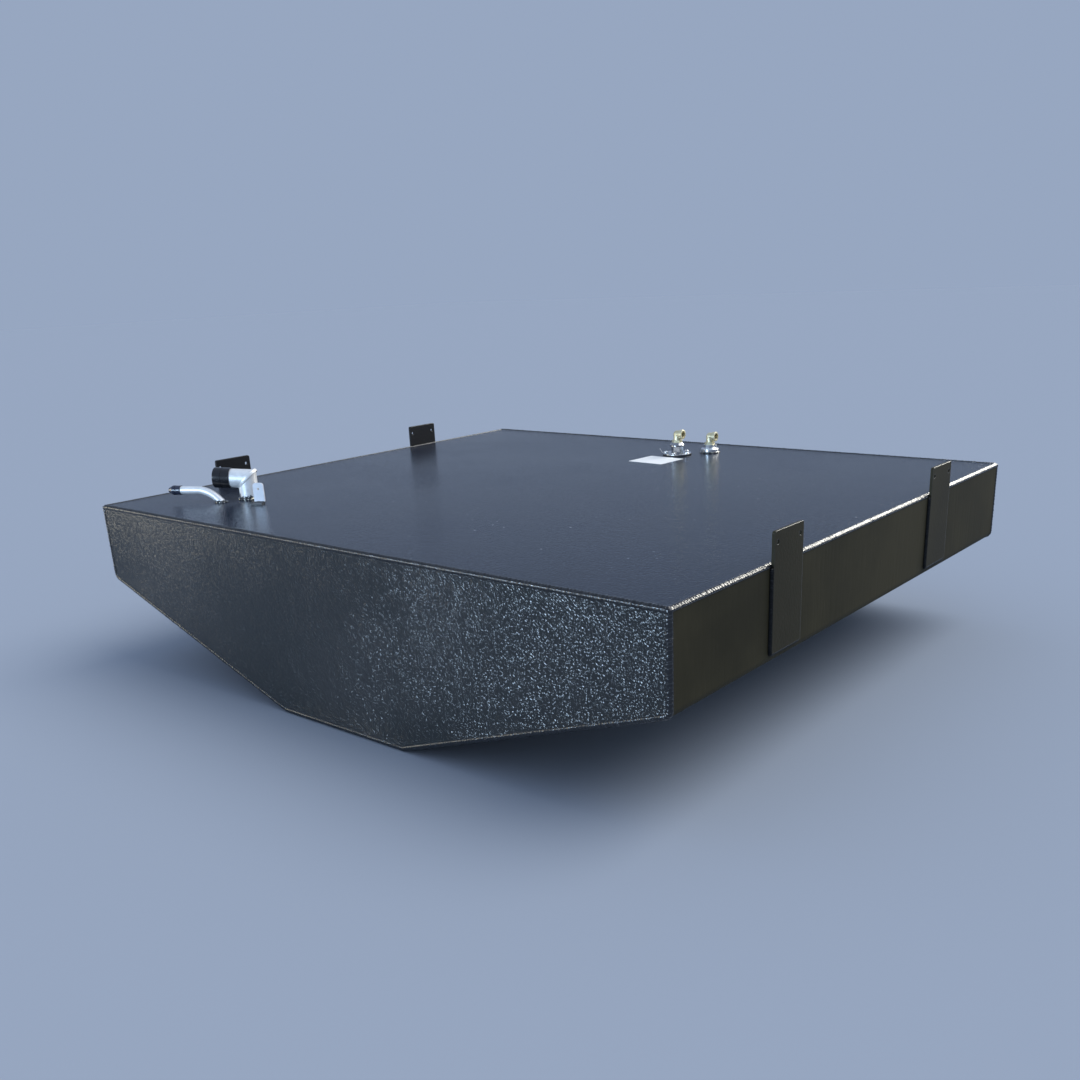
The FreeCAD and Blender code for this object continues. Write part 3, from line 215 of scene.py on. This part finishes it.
def rounded_route(corners, radius, step, closed):
    """Evenly spaced points along straight runs with rounded corners, and the direction at each."""
    corners = [Vector(corner) for corner in corners]
    count = len(corners)
    dense = []
    for i, corner in enumerate(corners):
        if not closed and i in (0, count - 1):
            dense.append(corner)
            continue
        to_before = (corners[i - 1] - corner).normalized()
        to_after = (corners[(i + 1) % count] - corner).normalized()
        half = to_before.angle(to_after) / 2
        centre = corner + (to_before + to_after).normalized() * (radius / math.sin(half))
        start = corner + to_before * (radius / math.tan(half)) - centre
        normal = to_before.cross(to_after).normalized()
        turn = math.pi - 2 * half
        dense += [centre + Matrix.Rotation(-turn * k / 12, 3, normal) @ start for k in range(13)]
    if closed:
        dense.append(dense[0])
    dense = np.array(dense)
    lengths = np.concatenate([[0], np.cumsum(np.linalg.norm(np.diff(dense, axis=0), axis=1))])
    stations = np.linspace(0, lengths[-1], round(lengths[-1] / step), endpoint=not closed)
    points = np.stack([np.interp(stations, lengths, dense[:, axis]) for axis in range(3)], axis=1)
    return points, directions(points, closed)


def directions(points, closed):
    """Direction of travel at each point of a run."""
    if closed:
        along = np.roll(points, -1, axis=0) - np.roll(points, 1, axis=0)
    else:
        along = np.gradient(points, axis=0)
    return along / np.linalg.norm(along, axis=1)[:, None]


STEPS_PER_RIPPLE = 5


def weld_bead(name, material, points, across, rise, section, ripple, seed, closed=False):
    """Rippled bead; a section row is a point and its outward direction, as (across, rise), the last hidden."""
    chance = np.random.RandomState(seed)
    number = np.arange(len(points)) / STEPS_PER_RIPPLE
    total = int(number[-1]) + 3
    sway = np.interp(number, np.arange(total), chance.uniform(-0.25, 0.25, total))
    size = chance.uniform(0.65, 1.15, total)
    section = np.array(section)
    section = section if section.ndim == 3 else section[None]
    place = np.linspace(-1, 1, section.shape[1] - 1)
    bow = np.append(0.32 * place ** 2, 0)
    fade = np.append(np.cos(place * math.pi / 2) ** 0.5, 0)
    phase = (number + sway)[:, None] + bow[None, :] + 1
    hump = np.abs(np.sin(math.pi * phase)) * size[np.floor(phase).astype(int) % total]
    lift = ripple * fade[None, :] * (hump - 0.4)
    offsets = section[:, :, :2] + lift[:, :, None] * section[:, :, 2:]
    rings = points[:, None] + offsets[:, :, :1] * across[:, None] + offsets[:, :, 1:] * rise[:, None]
    return skin(name, rings, closed, material)


def round_section(centre, radius, start, stop, root, count=9):
    """Section of a bead: an arc about a centre, and one point at its root."""
    rows = []
    for angle in np.radians(np.linspace(start, stop, count)):
        out = math.cos(angle), math.sin(angle)
        rows.append((centre + radius * out[0], centre + radius * out[1], *out))
    return rows + [(*root, 0, 0)]


def fillet_section(leg):
    """Section of a bead that fills the corner between two faces, from one face round to the other."""
    return round_section(0.0, leg, 0, 90, root=(-0.001, -0.001), count=7)


# The beads carry the same coat as the plates; their darker base colour is painted shade along the seams.
bead_coat = coat_material(
    "coat over the beads", dark=(0.006, 0.007, 0.009), light=(0.009, 0.010, 0.012),
    grain=(0.0018, 0.0018, 0.0018), lie=(0, 0, 0), depth=0.0004, nib_spacing=0.03, roughness=(0.10, 0.16),
    gloss=0.5)
lid_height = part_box("top_plate")[1].z
half_width, half_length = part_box("belly_shell")[1].x, -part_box("front_end_plate")[0].y
side_height, half_keel, outside_bend = 0.1526, 0.1587, 0.0143
side_foot = lid_height - side_height
corner_turn, bead_start = 0.0075, 0.002
seam_pitch, seam_ripple = 0.0062, 0.0009
bead_lean = math.radians(32)
side_section = [(0.0004, 0.0064, -0.4, 0.9), (-0.0005, 0.0060, -0.7, 0.7), (-0.0011, 0.0053, -0.95, 0.3),
                (-0.0013, 0.0045, -1.0, 0.0)]
for place in np.linspace(-0.95, 0.95, 11):
    crown = 0.0012 * (1 - abs(place) ** 3)
    lean = math.atan(0.0036 * place * abs(place) / 0.0043)
    out = (-math.sin(bead_lean - lean), -math.cos(bead_lean - lean))
    side_section.append((0.0025 + 0.0036 * place - 0.53 * crown, 0.0014 - 0.0023 * place - 0.85 * crown, *out))
side_section += [(0.0068, 0.0002, 0.6, -0.8), (0.0047, 0.0047, 0, 0)]
end_section = round_section(0.0042, 0.0054, 142, 308, root=(0.0047, 0.0047), count=len(side_section) - 1)

rim = [(half_width, -half_length, lid_height), (half_width, half_length, lid_height),
       (-half_width, half_length, lid_height), (-half_width, -half_length, lid_height)]
points, along = rounded_route(rim, corner_turn, seam_pitch / STEPS_PER_RIPPLE, closed=True)
down = np.tile([0.0, 0.0, -1.0], (len(points), 1))
across_end = np.abs(along[:, :1])
seam_section = (across_end[:, :, None] * np.array(end_section)
                + (1 - across_end[:, :, None]) * np.array(side_section))
top_bead = weld_bead("top_seam_bead", bead_coat, points, np.cross(along, down), down,
                     seam_section, seam_ripple * (0.5 + 0.9 * across_end), seed=11, closed=True)
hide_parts("top_seam_weld")

for end, end_name in ((-1, "front"), (1, "rear")):
    profile = [(half_width, lid_height - bead_start), (half_width, side_foot), (half_keel, 0.0)]
    profile += [(-x, z) for x, z in reversed(profile)]
    corners = [(x, end * half_length, z) for x, z in profile]
    points, along = rounded_route(corners, outside_bend, seam_pitch / STEPS_PER_RIPPLE, closed=False)
    inwards = np.tile([0.0, -float(end), 0.0], (len(points), 1))
    end_bead = weld_bead(f"{end_name}_seam_bead", bead_coat, points,
                         np.cross([0.0, 1.0, 0.0], along), inwards, end_section, 1.2 * seam_ripple,
                         seed=12 + end)
    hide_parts(f"{end_name}_seam_weld")

# Mounting tabs: four flat bars with rounded corners and two bolt holes each, welded flat against the sides and
# coated like them. Each has a fillet weld down both edges and under its foot.

# The tabs share the black coat of the sides; their olive tone is painted warm light, as on the sides.
tab_coat = coat_material(
    "coat of the tabs", dark=(0.025, 0.022, 0.012), light=(0.037, 0.033, 0.019),
    grain=(0.004, 0.004, 0.004), lie=(0, 0, 0), depth=0.00015, nib_spacing=0.03, roughness=(0.52, 0.60),
    gloss=0.12, soft_edge=0.0018)
# The left tabs get a darker copy of the same tab coat: painted shade on the side away from the light.
shaded_tab_coat = coat_material(
    "left tabs' coat in painted shade", dark=(0.008, 0.009, 0.012), light=(0.012, 0.013, 0.016),
    grain=(0.004, 0.004, 0.004), lie=(0, 0, 0), depth=0.00015, nib_spacing=0.03, roughness=(0.45, 0.55),
    gloss=0.12, soft_edge=0.0018)
# The tab welds carry the same black coat; their darker colour is painted shade in the corners beside the tabs.
tab_weld_coat = coat_material(
    "tab welds' coat in painted shade", dark=(0.006, 0.007, 0.008), light=(0.009, 0.010, 0.011),
    grain=(0.0018, 0.0018, 0.0018), lie=(0, 0, 0), depth=0.0003, nib_spacing=0.03, roughness=(0.40, 0.50),
    gloss=0.10)
tab_leg, tab_pitch, tab_ripple, tab_bead_corner = 0.0042, 0.004, 0.0005, 0.004
tab_bead_top = lid_height - 0.007
for side, side_name in ((1, "right"), (-1, "left")):
    for end_name in ("front", "rear"):
        tab = f"mounting_tab_{side_name}_{end_name}"
        finish_with(tab_coat if side > 0 else shaded_tab_coat, tab)
        low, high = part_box(tab)
        wall = side * half_width
        edges = [(low.y, tab_bead_top), (low.y, low.z), (high.y, low.z), (high.y, tab_bead_top)]
        corners = [(wall, y, z) for y, z in edges]
        points, along = rounded_route(corners, tab_bead_corner, tab_pitch / STEPS_PER_RIPPLE, closed=False)
        outwards = np.tile([float(side), 0.0, 0.0], (len(points), 1))
        fillet = weld_bead(f"tab_bead_{side_name}_{end_name}", tab_weld_coat, points,
                           np.cross(along, [1.0, 0.0, 0.0]), outwards, fillet_section(tab_leg), tab_ripple,
                           seed=20)
        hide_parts("tab_welds")

# Filler neck: two mitred lengths of aluminium tube, left bare. The black coat of the lid climbs raggedly up its
# foot and over the fillet weld, with small bare spots; the mitre weld is a bright raised band.


def brushed_group():
    """Fine drawn scratches and faint stains of a handled metal surface."""
    group, given, result = new_group(
        "handled metal", {"Scratch Size": "Vector"}, {"Height": "Float", "Stain": "Float"})
    place = put(group, "TexCoord", {}).outputs["Object"]
    drawn = put(group, "Mapping", {"Vector": place, "Scale": given["Scratch Size"]},
                vector_type="TEXTURE").outputs["Vector"]
    scratches = put(group, "TexNoise", {"Vector": drawn, "Scale": 1.0, "Detail": 3.0, "Roughness": 0.6})
    stain = put(group, "TexNoise", {"Vector": place, "Scale": 90.0, "Detail": 4.0, "Roughness": 0.6})
    group.links.new(scratches.outputs["Fac"], result["Height"])
    group.links.new(stain.outputs["Fac"], result["Stain"])
    return group


handled_metal = brushed_group()


def coat_edge_group():
    """Where a coat ends raggedly on a piece that stands up from the lid: 1 on the coat, 0 on bare metal."""
    group, given, result = new_group(
        "coat edge", {"Edge Height": "Float", "Raggedness": "Float", "Bare Spots": "Float"}, {"Coat": "Float"})
    place = put(group, "TexCoord", {}).outputs["Object"]
    height = put(group, "SeparateXYZ", {"Vector": place}).outputs["Z"]
    rag = put(group, "TexNoise", {"Vector": place, "Scale": 160.0, "Detail": 2.0}).outputs["Fac"]
    climb = sums(group, "MULTIPLY", sums(group, "SUBTRACT", rag, 0.5), given["Raggedness"])
    above = sums(group, "SUBTRACT", height, sums(group, "ADD", given["Edge Height"], climb))
    coat = ramp(group, above, 0.0002, -0.0002)
    chips = put(group, "TexNoise", {"Vector": place, "Scale": 330.0, "Detail": 1.0}).outputs["Fac"]
    whole = ramp(group, chips, sums(group, "SUBTRACT", 0.74, given["Bare Spots"]),
                 sums(group, "SUBTRACT", 0.70, given["Bare Spots"]))
    group.links.new(sums(group, "MULTIPLY", coat, whole), result["Coat"])
    return group


coat_edge = coat_edge_group()


def metal_material(name, dark, light, scratch, depth, roughness, coat=None, metallic=1.0):
    """Bare metal with drawn scratches; coat is the edge height, raggedness and bare spots of a coated foot."""
    material, tree, shader = new_material(name)
    marks = put(tree, "Group", {}, node_tree=handled_metal)
    marks.inputs["Scratch Size"].default_value = scratch
    colour = mixed(tree, ramp(tree, marks.outputs["Stain"], 0.3, 0.7), dark, light)
    rough = ramp(tree, marks.outputs["Stain"], 0.3, 0.7, *roughness)
    shader.inputs["Metallic"].default_value = metallic
    if coat:
        edge = put(tree, "Group", {}, node_tree=coat_edge)
        for socket, value in zip(("Edge Height", "Raggedness", "Bare Spots"), coat):
            edge.inputs[socket].default_value = value
        colour = mixed(tree, edge.outputs["Coat"], colour, (0.016, 0.017, 0.02))
        tree.links.new(ramp(tree, edge.outputs["Coat"], 0, 1, metallic, 0), shader.inputs["Metallic"])
    bump = put(tree, "Bump", {"Height": marks.outputs["Height"], "Distance": depth, "Strength": 1.0})
    tree.links.new(colour, shader.inputs["Base Color"])
    tree.links.new(rough, shader.inputs["Roughness"])
    tree.links.new(bump.outputs["Normal"], shader.inputs["Normal"])
    return material


filler_turn, filler_tilt, filler_rise = math.radians(216.8), math.radians(4.0), 0.0403
riser_low, riser_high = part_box("filler_riser")
filler_radius = (riser_high.x - riser_low.x) / 2
neck = Vector(((riser_low.x + riser_high.x) / 2, (riser_low.y + riser_high.y) / 2, lid_height))
filler_bare = metal_material(
    "bare filler tube", dark=(0.72, 0.73, 0.74), light=(0.80, 0.81, 0.82), scratch=(0.0004, 0.0004, 0.0004),
    depth=0.00003, roughness=(0.38, 0.46), coat=(lid_height + 0.0075, 0.030, 0.03), metallic=0.35)
filler_weld_bare = metal_material(
    "bright bead", dark=(0.74, 0.74, 0.73), light=(0.82, 0.82, 0.81), scratch=(0.0006, 0.0006, 0.0006),
    depth=0.00004, roughness=(0.34, 0.42), metallic=0.4)
foot_weld_coat = metal_material(
    "coated bead with bare spots", dark=(0.75, 0.70, 0.52), light=(0.92, 0.92, 0.90),
    scratch=(0.0006, 0.0006, 0.0006), depth=0.00004, roughness=(0.22, 0.32),
    coat=(lid_height + 0.03, 0.0, 0.12))
finish_with(filler_bare, "filler_riser", "filler_outlet")


def ellipse_route(centre, major, minor, pitch):
    """Closed ring of points round a tube, with the directions in its plane that point away from the tube."""
    reach = (major.length + minor.length) / 2
    count = STEPS_PER_RIPPLE * round(2 * math.pi * reach / pitch)
    turns = np.linspace(0, 2 * math.pi, count, endpoint=False)[:, None]
    points = np.array(centre) + np.cos(turns) * np.array(major) + np.sin(turns) * np.array(minor)
    normal = np.cross(np.array(major.normalized()), np.array(minor.normalized()))
    return points, np.cross(directions(points, closed=True), normal), np.tile(normal, (count, 1))


outlet_level = math.cos(filler_tilt)
outlet_way = Vector((math.cos(filler_turn) * outlet_level, math.sin(filler_turn) * outlet_level,
                     math.sin(filler_tilt)))
mitre_normal = (outlet_way + Vector((0, 0, 1))).normalized()
mitre_minor = Vector((0, 0, 1)).cross(outlet_way).normalized() * filler_radius
mitre_major = mitre_minor.normalized().cross(mitre_normal) * (filler_radius / outlet_way.dot(mitre_normal))
mitre_pitch, mitre_ripple, band_rise, band_half_width = 0.0038, 0.00018, 0.0012, 0.0034
points, away, normal = ellipse_route(neck + Vector((0, 0, filler_rise)), mitre_major, mitre_minor, mitre_pitch)
band = [(band_rise * max(math.cos(turn), 0) ** 0.35 - 0.0002, band_half_width * math.sin(turn),
         math.cos(turn), math.sin(turn)) for turn in np.radians(np.linspace(-90, 90, 13))]
band += [(-0.0015, 0.0, 0, 0)]
mitre_bead = weld_bead("filler_mitre_bead", filler_weld_bare, points, away, normal, band,
                       mitre_ripple, seed=31, closed=True)
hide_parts("filler_mitre_weld")

foot_leg, foot_pitch, foot_ripple = 0.0046, 0.0040, 0.0006
points, away, normal = ellipse_route(
    neck, Vector((filler_radius, 0, 0)), Vector((0, filler_radius, 0)), foot_pitch)
foot_bead = weld_bead("filler_foot_bead", foot_weld_coat, points, away, normal,
                      fillet_section(foot_leg), foot_ripple, seed=32, closed=True)
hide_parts("filler_base_weld")

# Caps: soft black vinyl cups pushed over the filler's outlet and over the end of the vent. They are glossy from
# dipping, with faint handling marks.


def vinyl_material(name, colour, roughness):
    """Dipped black vinyl."""
    material, tree, shader = new_material(name)
    marks = put(tree, "Group", {}, node_tree=handled_metal)
    marks.inputs["Scratch Size"].default_value = (0.006, 0.006, 0.006)
    bump = put(tree, "Bump", {"Height": marks.outputs["Height"], "Distance": 0.00001, "Strength": 1.0})
    tree.links.new(mixed(tree, marks.outputs["Stain"], colour, [c * 1.6 for c in colour]),
                   shader.inputs["Base Color"])
    tree.links.new(ramp(tree, marks.outputs["Stain"], 0.3, 0.7, *roughness), shader.inputs["Roughness"])
    tree.links.new(bump.outputs["Normal"], shader.inputs["Normal"])
    return material


cap_vinyl = vinyl_material("dipped vinyl", (0.010, 0.010, 0.012), (0.15, 0.19))
finish_with(cap_vinyl, "filler_cap")
# The vent cap is the same black vinyl as the filler cap; its blue tint is a painted sky reflection.
finish_with(vinyl_material("black vinyl with painted sky reflection", (0.020, 0.023, 0.038), (0.14, 0.22)), "vent_cap")

# Vent: a thin bent aluminium tube that leaves the lid at a slant. Its foot is coated up to a ragged edge with
# small bare spots on the bead.

vent_slant, vent_radius, vent_turn = math.radians(45.0), 0.00795, math.radians(207.5)
vent_leg, vent_pitch, vent_ripple = 0.0032, 0.0034, 0.0005
vent_bare = metal_material(
    "bare vent tube", dark=(0.72, 0.73, 0.74), light=(0.80, 0.81, 0.82), scratch=(0.0004, 0.0004, 0.0004),
    depth=0.00003, roughness=(0.38, 0.46), coat=(lid_height + 0.004, 0.008, 0.05), metallic=0.35)
finish_with(vent_bare, "vent_tube")
bead_low, bead_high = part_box("vent_base_weld")
vent_foot = Vector(((bead_low.x + bead_high.x) / 2, (bead_low.y + bead_high.y) / 2, lid_height))
vent_way = Vector((math.cos(vent_turn), math.sin(vent_turn), 0))
points, away, normal = ellipse_route(
    vent_foot, vent_way * (vent_radius / math.sin(vent_slant)), Vector((0, 0, 1)).cross(vent_way) * vent_radius,
    vent_pitch)
vent_bead = weld_bead("vent_foot_bead", foot_weld_coat, points, away, normal,
                      fillet_section(vent_leg), vent_ripple, seed=41, closed=True)
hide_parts("vent_base_weld")

# Bonding tab: a strip of bare aluminium bent to an L, with one hole. Its foot is under the coat.

bonding_bare = metal_material(
    "bare bonding strip", dark=(0.55, 0.56, 0.60), light=(0.62, 0.63, 0.67), scratch=(0.0003, 0.0003, 0.004),
    depth=0.00003, roughness=(0.36, 0.44), coat=(lid_height + 0.0045, 0.003, 0.0), metallic=0.15)
finish_with(bonding_bare, "bonding_tab")

# Gauge flange: a round plated steel plate on a rubber gasket, held by five round-headed screws. It carries a
# hexagon fitting, a threaded terminal stud and a ground spade.

zinc_plate = metal_material(
    "bright zinc plate", dark=(0.36, 0.37, 0.39), light=(0.54, 0.54, 0.54), scratch=(0.0008, 0.0008, 0.0008),
    depth=0.00003, roughness=(0.14, 0.22))
screw_plate = metal_material(
    "bright screw heads", dark=(0.80, 0.80, 0.79), light=(0.92, 0.92, 0.91), scratch=(0.0006, 0.0006, 0.0006),
    depth=0.00002, roughness=(0.14, 0.22))
finish_with(zinc_plate, "sender_flange", "flange_fitting", "sender_bracket", "ground_terminal", "float_arm",
            "sender_terminal")
finish_with(screw_plate, "flange_screws")


def matt_material(name, colour, light, grain, depth, roughness):
    """Rubber, plastic or foam: an even colour with a fine moulded grain."""
    material, tree, shader = new_material(name)
    marks = put(tree, "Group", {}, node_tree=handled_metal)
    marks.inputs["Scratch Size"].default_value = (grain, grain, grain)
    bump = put(tree, "Bump", {"Height": marks.outputs["Height"], "Distance": depth, "Strength": 1.0})
    tree.links.new(mixed(tree, marks.outputs["Stain"], colour, light), shader.inputs["Base Color"])
    tree.links.new(ramp(tree, marks.outputs["Stain"], 0.3, 0.7, *roughness), shader.inputs["Roughness"])
    tree.links.new(bump.outputs["Normal"], shader.inputs["Normal"])
    return material


gasket_rubber = matt_material(
    "gasket rubber", (0.012, 0.012, 0.012), (0.03, 0.03, 0.03), 0.0006, 0.0001, (0.6, 0.75))
finish_with(gasket_rubber, "sender_gasket")


def screw_thread(name, material, centre, axis, radius, length, pitch, depth, inside):
    """V-shaped thread ridge wound along an axis, on the inside of a port or the outside of a stud."""
    axis = Vector(axis)
    first = axis.orthogonal().normalized()
    second = axis.cross(first)
    per_turn = 36
    turns = np.arange(int(length / pitch * per_turn) + 1) * (2 * math.pi / per_turn)
    away = np.cos(turns)[:, None] * np.array(first) + np.sin(turns)[:, None] * np.array(second)
    along = np.array(centre) + (turns * pitch / (2 * math.pi))[:, None] * np.array(axis)
    crest = -depth if inside else depth
    root = depth / 2 if inside else -depth / 2
    rings = np.stack([along + away * (radius + out) + np.array(axis) * shift for out, shift in (
        (root, -0.45 * pitch), (crest, 0.0), (root, 0.45 * pitch))], axis=1)
    return skin(name, rings, False, material)


stud_radius, stud_length, stud_pitch, stud_thread_depth = 0.0019, 0.0074, 0.0008, 0.00025
stud_low, stud_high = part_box("sender_terminal")
stud_foot = Vector((
    (stud_low.x + stud_high.x) / 2, (stud_low.y + stud_high.y) / 2, stud_high.z - stud_length - 0.0004))
screw_thread("terminal_stud_thread", zinc_plate, stud_foot, (0, 0, 1), stud_radius,
             stud_length, stud_pitch, stud_thread_depth, inside=False)

# Outlets: two forged brass elbows with female pipe threads that face the right side. The return one stands in a
# hexagon bushing, screwed into a round aluminium bung that is welded to the lid.

brass = metal_material(
    "dull pale brass", dark=(0.70, 0.63, 0.40), light=(0.80, 0.75, 0.54), scratch=(0.0012, 0.0012, 0.0012),
    depth=0.00005, roughness=(0.38, 0.48), metallic=0.75)
bung_bare = metal_material(
    "turned aluminium", dark=(0.74, 0.75, 0.76), light=(0.88, 0.89, 0.90), scratch=(0.004, 0.004, 0.0002),
    depth=0.00003, roughness=(0.24, 0.34))
finish_with(brass, "pickup_elbow", "return_elbow")
finish_with(bung_bare, "return_bung", "return_bushing")
port_radius, port_depth, port_below_top = 0.0073, 0.012, 0.0108
pipe_pitch, pipe_thread_depth = 0.00141, 0.0006
for elbow, outlet in (("pickup_elbow", "pickup"), ("return_elbow", "return")):
    low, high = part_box(elbow)
    port = Vector((high.x - port_depth + 0.001, (low.y + high.y) / 2, high.z - port_below_top))
    screw_thread(f"{outlet}_port_thread", brass, port, (1, 0, 0), port_radius, port_depth - 0.0022,
                 pipe_pitch, pipe_thread_depth, inside=True)

bung_leg, bung_pitch, bung_ripple = 0.0036, 0.0036, 0.0005
bung_low, bung_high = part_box("return_bung")
bung_radius = (bung_high.x - bung_low.x) / 2
points, away, normal = ellipse_route(
    Vector(((bung_low.x + bung_high.x) / 2, (bung_low.y + bung_high.y) / 2, lid_height)),
    Vector((bung_radius, 0, 0)), Vector((0, bung_radius, 0)), bung_pitch)
bung_bead = weld_bead("return_bung_bead", foot_weld_coat, points, away, normal,
                      fillet_section(bung_leg), bung_ripple, seed=51, closed=True)
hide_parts("return_bung_weld")

# Inside the tank: two bent cross walls of bare sheet, the pickup tube with its brass strainer, the return drop
# tube, and the level sender's moulded housing with a foam float on a swinging wire arm.

mill_sheet = metal_material(
    "mill finish sheet", dark=(0.62, 0.63, 0.64), light=(0.78, 0.79, 0.80), scratch=(0.02, 0.0006, 0.0006),
    depth=0.00004, roughness=(0.34, 0.48))
strainer_mesh = metal_material(
    "strainer brass", dark=(0.60, 0.48, 0.25), light=(0.76, 0.64, 0.40), scratch=(0.0008, 0.0008, 0.0008),
    depth=0.0002, roughness=(0.4, 0.55))
finish_with(mill_sheet, "front_baffle", "rear_baffle", "pickup_dip_tube", "return_drop_tube")
finish_with(strainer_mesh, "pickup_strainer")
housing_plastic = matt_material(
    "moulded housing", (0.02, 0.02, 0.021), (0.035, 0.035, 0.036), 0.0005, 0.00005, (0.45, 0.55))
float_foam = matt_material(
    "closed foam", (0.04, 0.036, 0.032), (0.075, 0.07, 0.062), 0.0008, 0.0002, (0.75, 0.9))
finish_with(housing_plastic, "sender_housing")
finish_with(float_foam, "gauge_float")

# Label: one blank white vinyl sticker, pressed on a little crooked.

sticker_vinyl = matt_material(
    "white vinyl sticker", (0.80, 0.81, 0.81), (0.87, 0.88, 0.88), 0.002, 0.00003, (0.38, 0.5))
finish_with(sticker_vinyl, "label")

# Studio: a plain floor and backdrop of one pale blue-grey, broad soft light from above, and three softboxes
# that light only the tank; their reflections draw out the beads and the grain of the coat. The tank stands on
# the ripples of its end beads.

floor_height = -0.0019
floor_mesh = bpy.data.meshes.new("studio_floor")
floor_reach = 30.0
floor_mesh.from_pydata(
    [(x, y, floor_height) for x, y in (
        (-floor_reach, -floor_reach), (floor_reach, -floor_reach), (floor_reach, floor_reach),
        (-floor_reach, floor_reach))], [], [(0, 1, 2, 3)])
floor = bpy.data.objects.new("studio_floor", floor_mesh)
bpy.context.scene.collection.objects.link(floor)
floor_paint, tree, shader = new_material("pale floor")
shader.inputs["Base Color"].default_value = (0.498, 0.552, 0.629, 1)
shader.inputs["Roughness"].default_value = 0.9
shader.inputs["Specular IOR Level"].default_value = 0.1
floor_mesh.materials.append(floor_paint)
all_but_floor = bpy.data.collections.new("all_but_floor")
all_but_floor.objects.link(floor)
all_but_floor.collection_objects[0].light_linking.link_state = "EXCLUDE"

world = bpy.data.worlds.new("studio")
bpy.context.scene.world = world
world.use_nodes = True
world.node_tree.nodes["Background"].inputs["Color"].default_value = (0.31, 0.385, 0.53, 1)


def softbox(name, place, target, size, power, tint):
    """Rectangular area light that faces a point and leaves the floor out."""
    light = bpy.data.lights.new(name, "AREA")
    light.shape = "RECTANGLE"
    light.size, light.size_y = size
    light.energy = power
    light.color = tint
    lamp = bpy.data.objects.new(name, light)
    lamp.location = place
    lamp.rotation_mode = "QUATERNION"
    lamp.rotation_quaternion = (Vector(target) - Vector(place)).to_track_quat("-Z", "Y")
    lamp.visible_camera = False
    lamp.light_linking.receiver_collection = all_but_floor
    bpy.context.scene.collection.objects.link(lamp)


softbox("front", (-0.4, -3.6, 0.85), (0, -0.5, 0.3), (1.0, 0.8), 90.0, (0.56, 0.76, 1.0))
softbox("left", (-3.3, -2.3, 0.6), (-0.5, -0.6, 0.25), (1.6, 1.2), 30.0, (1.0, 0.93, 0.74))
softbox("rear_right", (1.3, 3.6, 2.1), (0.7, 0, 0.33), (2.2, 1.8), 160.0, (1.0, 0.97, 0.88))
skylight = bpy.data.lights.new("skylight", "SUN")
skylight.energy, skylight.angle = 1.2, math.radians(50)
sky = bpy.data.objects.new("skylight", skylight)
sky.rotation_mode = "QUATERNION"
sky.rotation_quaternion = Vector((-0.45, -0.35, -0.82)).to_track_quat("-Z", "Y")
bpy.context.scene.collection.objects.link(sky)

# Camera: stands at the photograph's place, near the right front corner and a little above the lid, and shifts
# its window as the photograph is cropped.

camera_place = Vector((1.43488, -1.70570, 0.73515))
camera_way = Vector((-0.60566226, 0.71906917, -0.34075322))
camera_right = Vector((0.77367933, 0.63225238, -0.0409539))
photo_side, photo_focus, photo_axis = 1080, 1081.3, (560.9, 669.4)
lens = bpy.data.cameras.new("photograph_camera")
lens.sensor_width = 36.0
lens.lens = lens.sensor_width * photo_focus / photo_side
lens.shift_x = 0.5 - photo_axis[0] / photo_side
lens.shift_y = photo_axis[1] / photo_side - 0.5
lens.clip_start, lens.clip_end = 0.05, 100.0
camera = bpy.data.objects.new("photograph_camera", lens)
camera_up = camera_right.cross(camera_way)
camera.matrix_world = Matrix.Translation(camera_place) @ Matrix(
    (camera_right, camera_up, -camera_way)).transposed().to_4x4()
bpy.context.scene.collection.objects.link(camera)
bpy.context.scene.camera = camera
bpy.context.scene.view_settings.view_transform = "Standard"

bpy.context.view_layer.update()
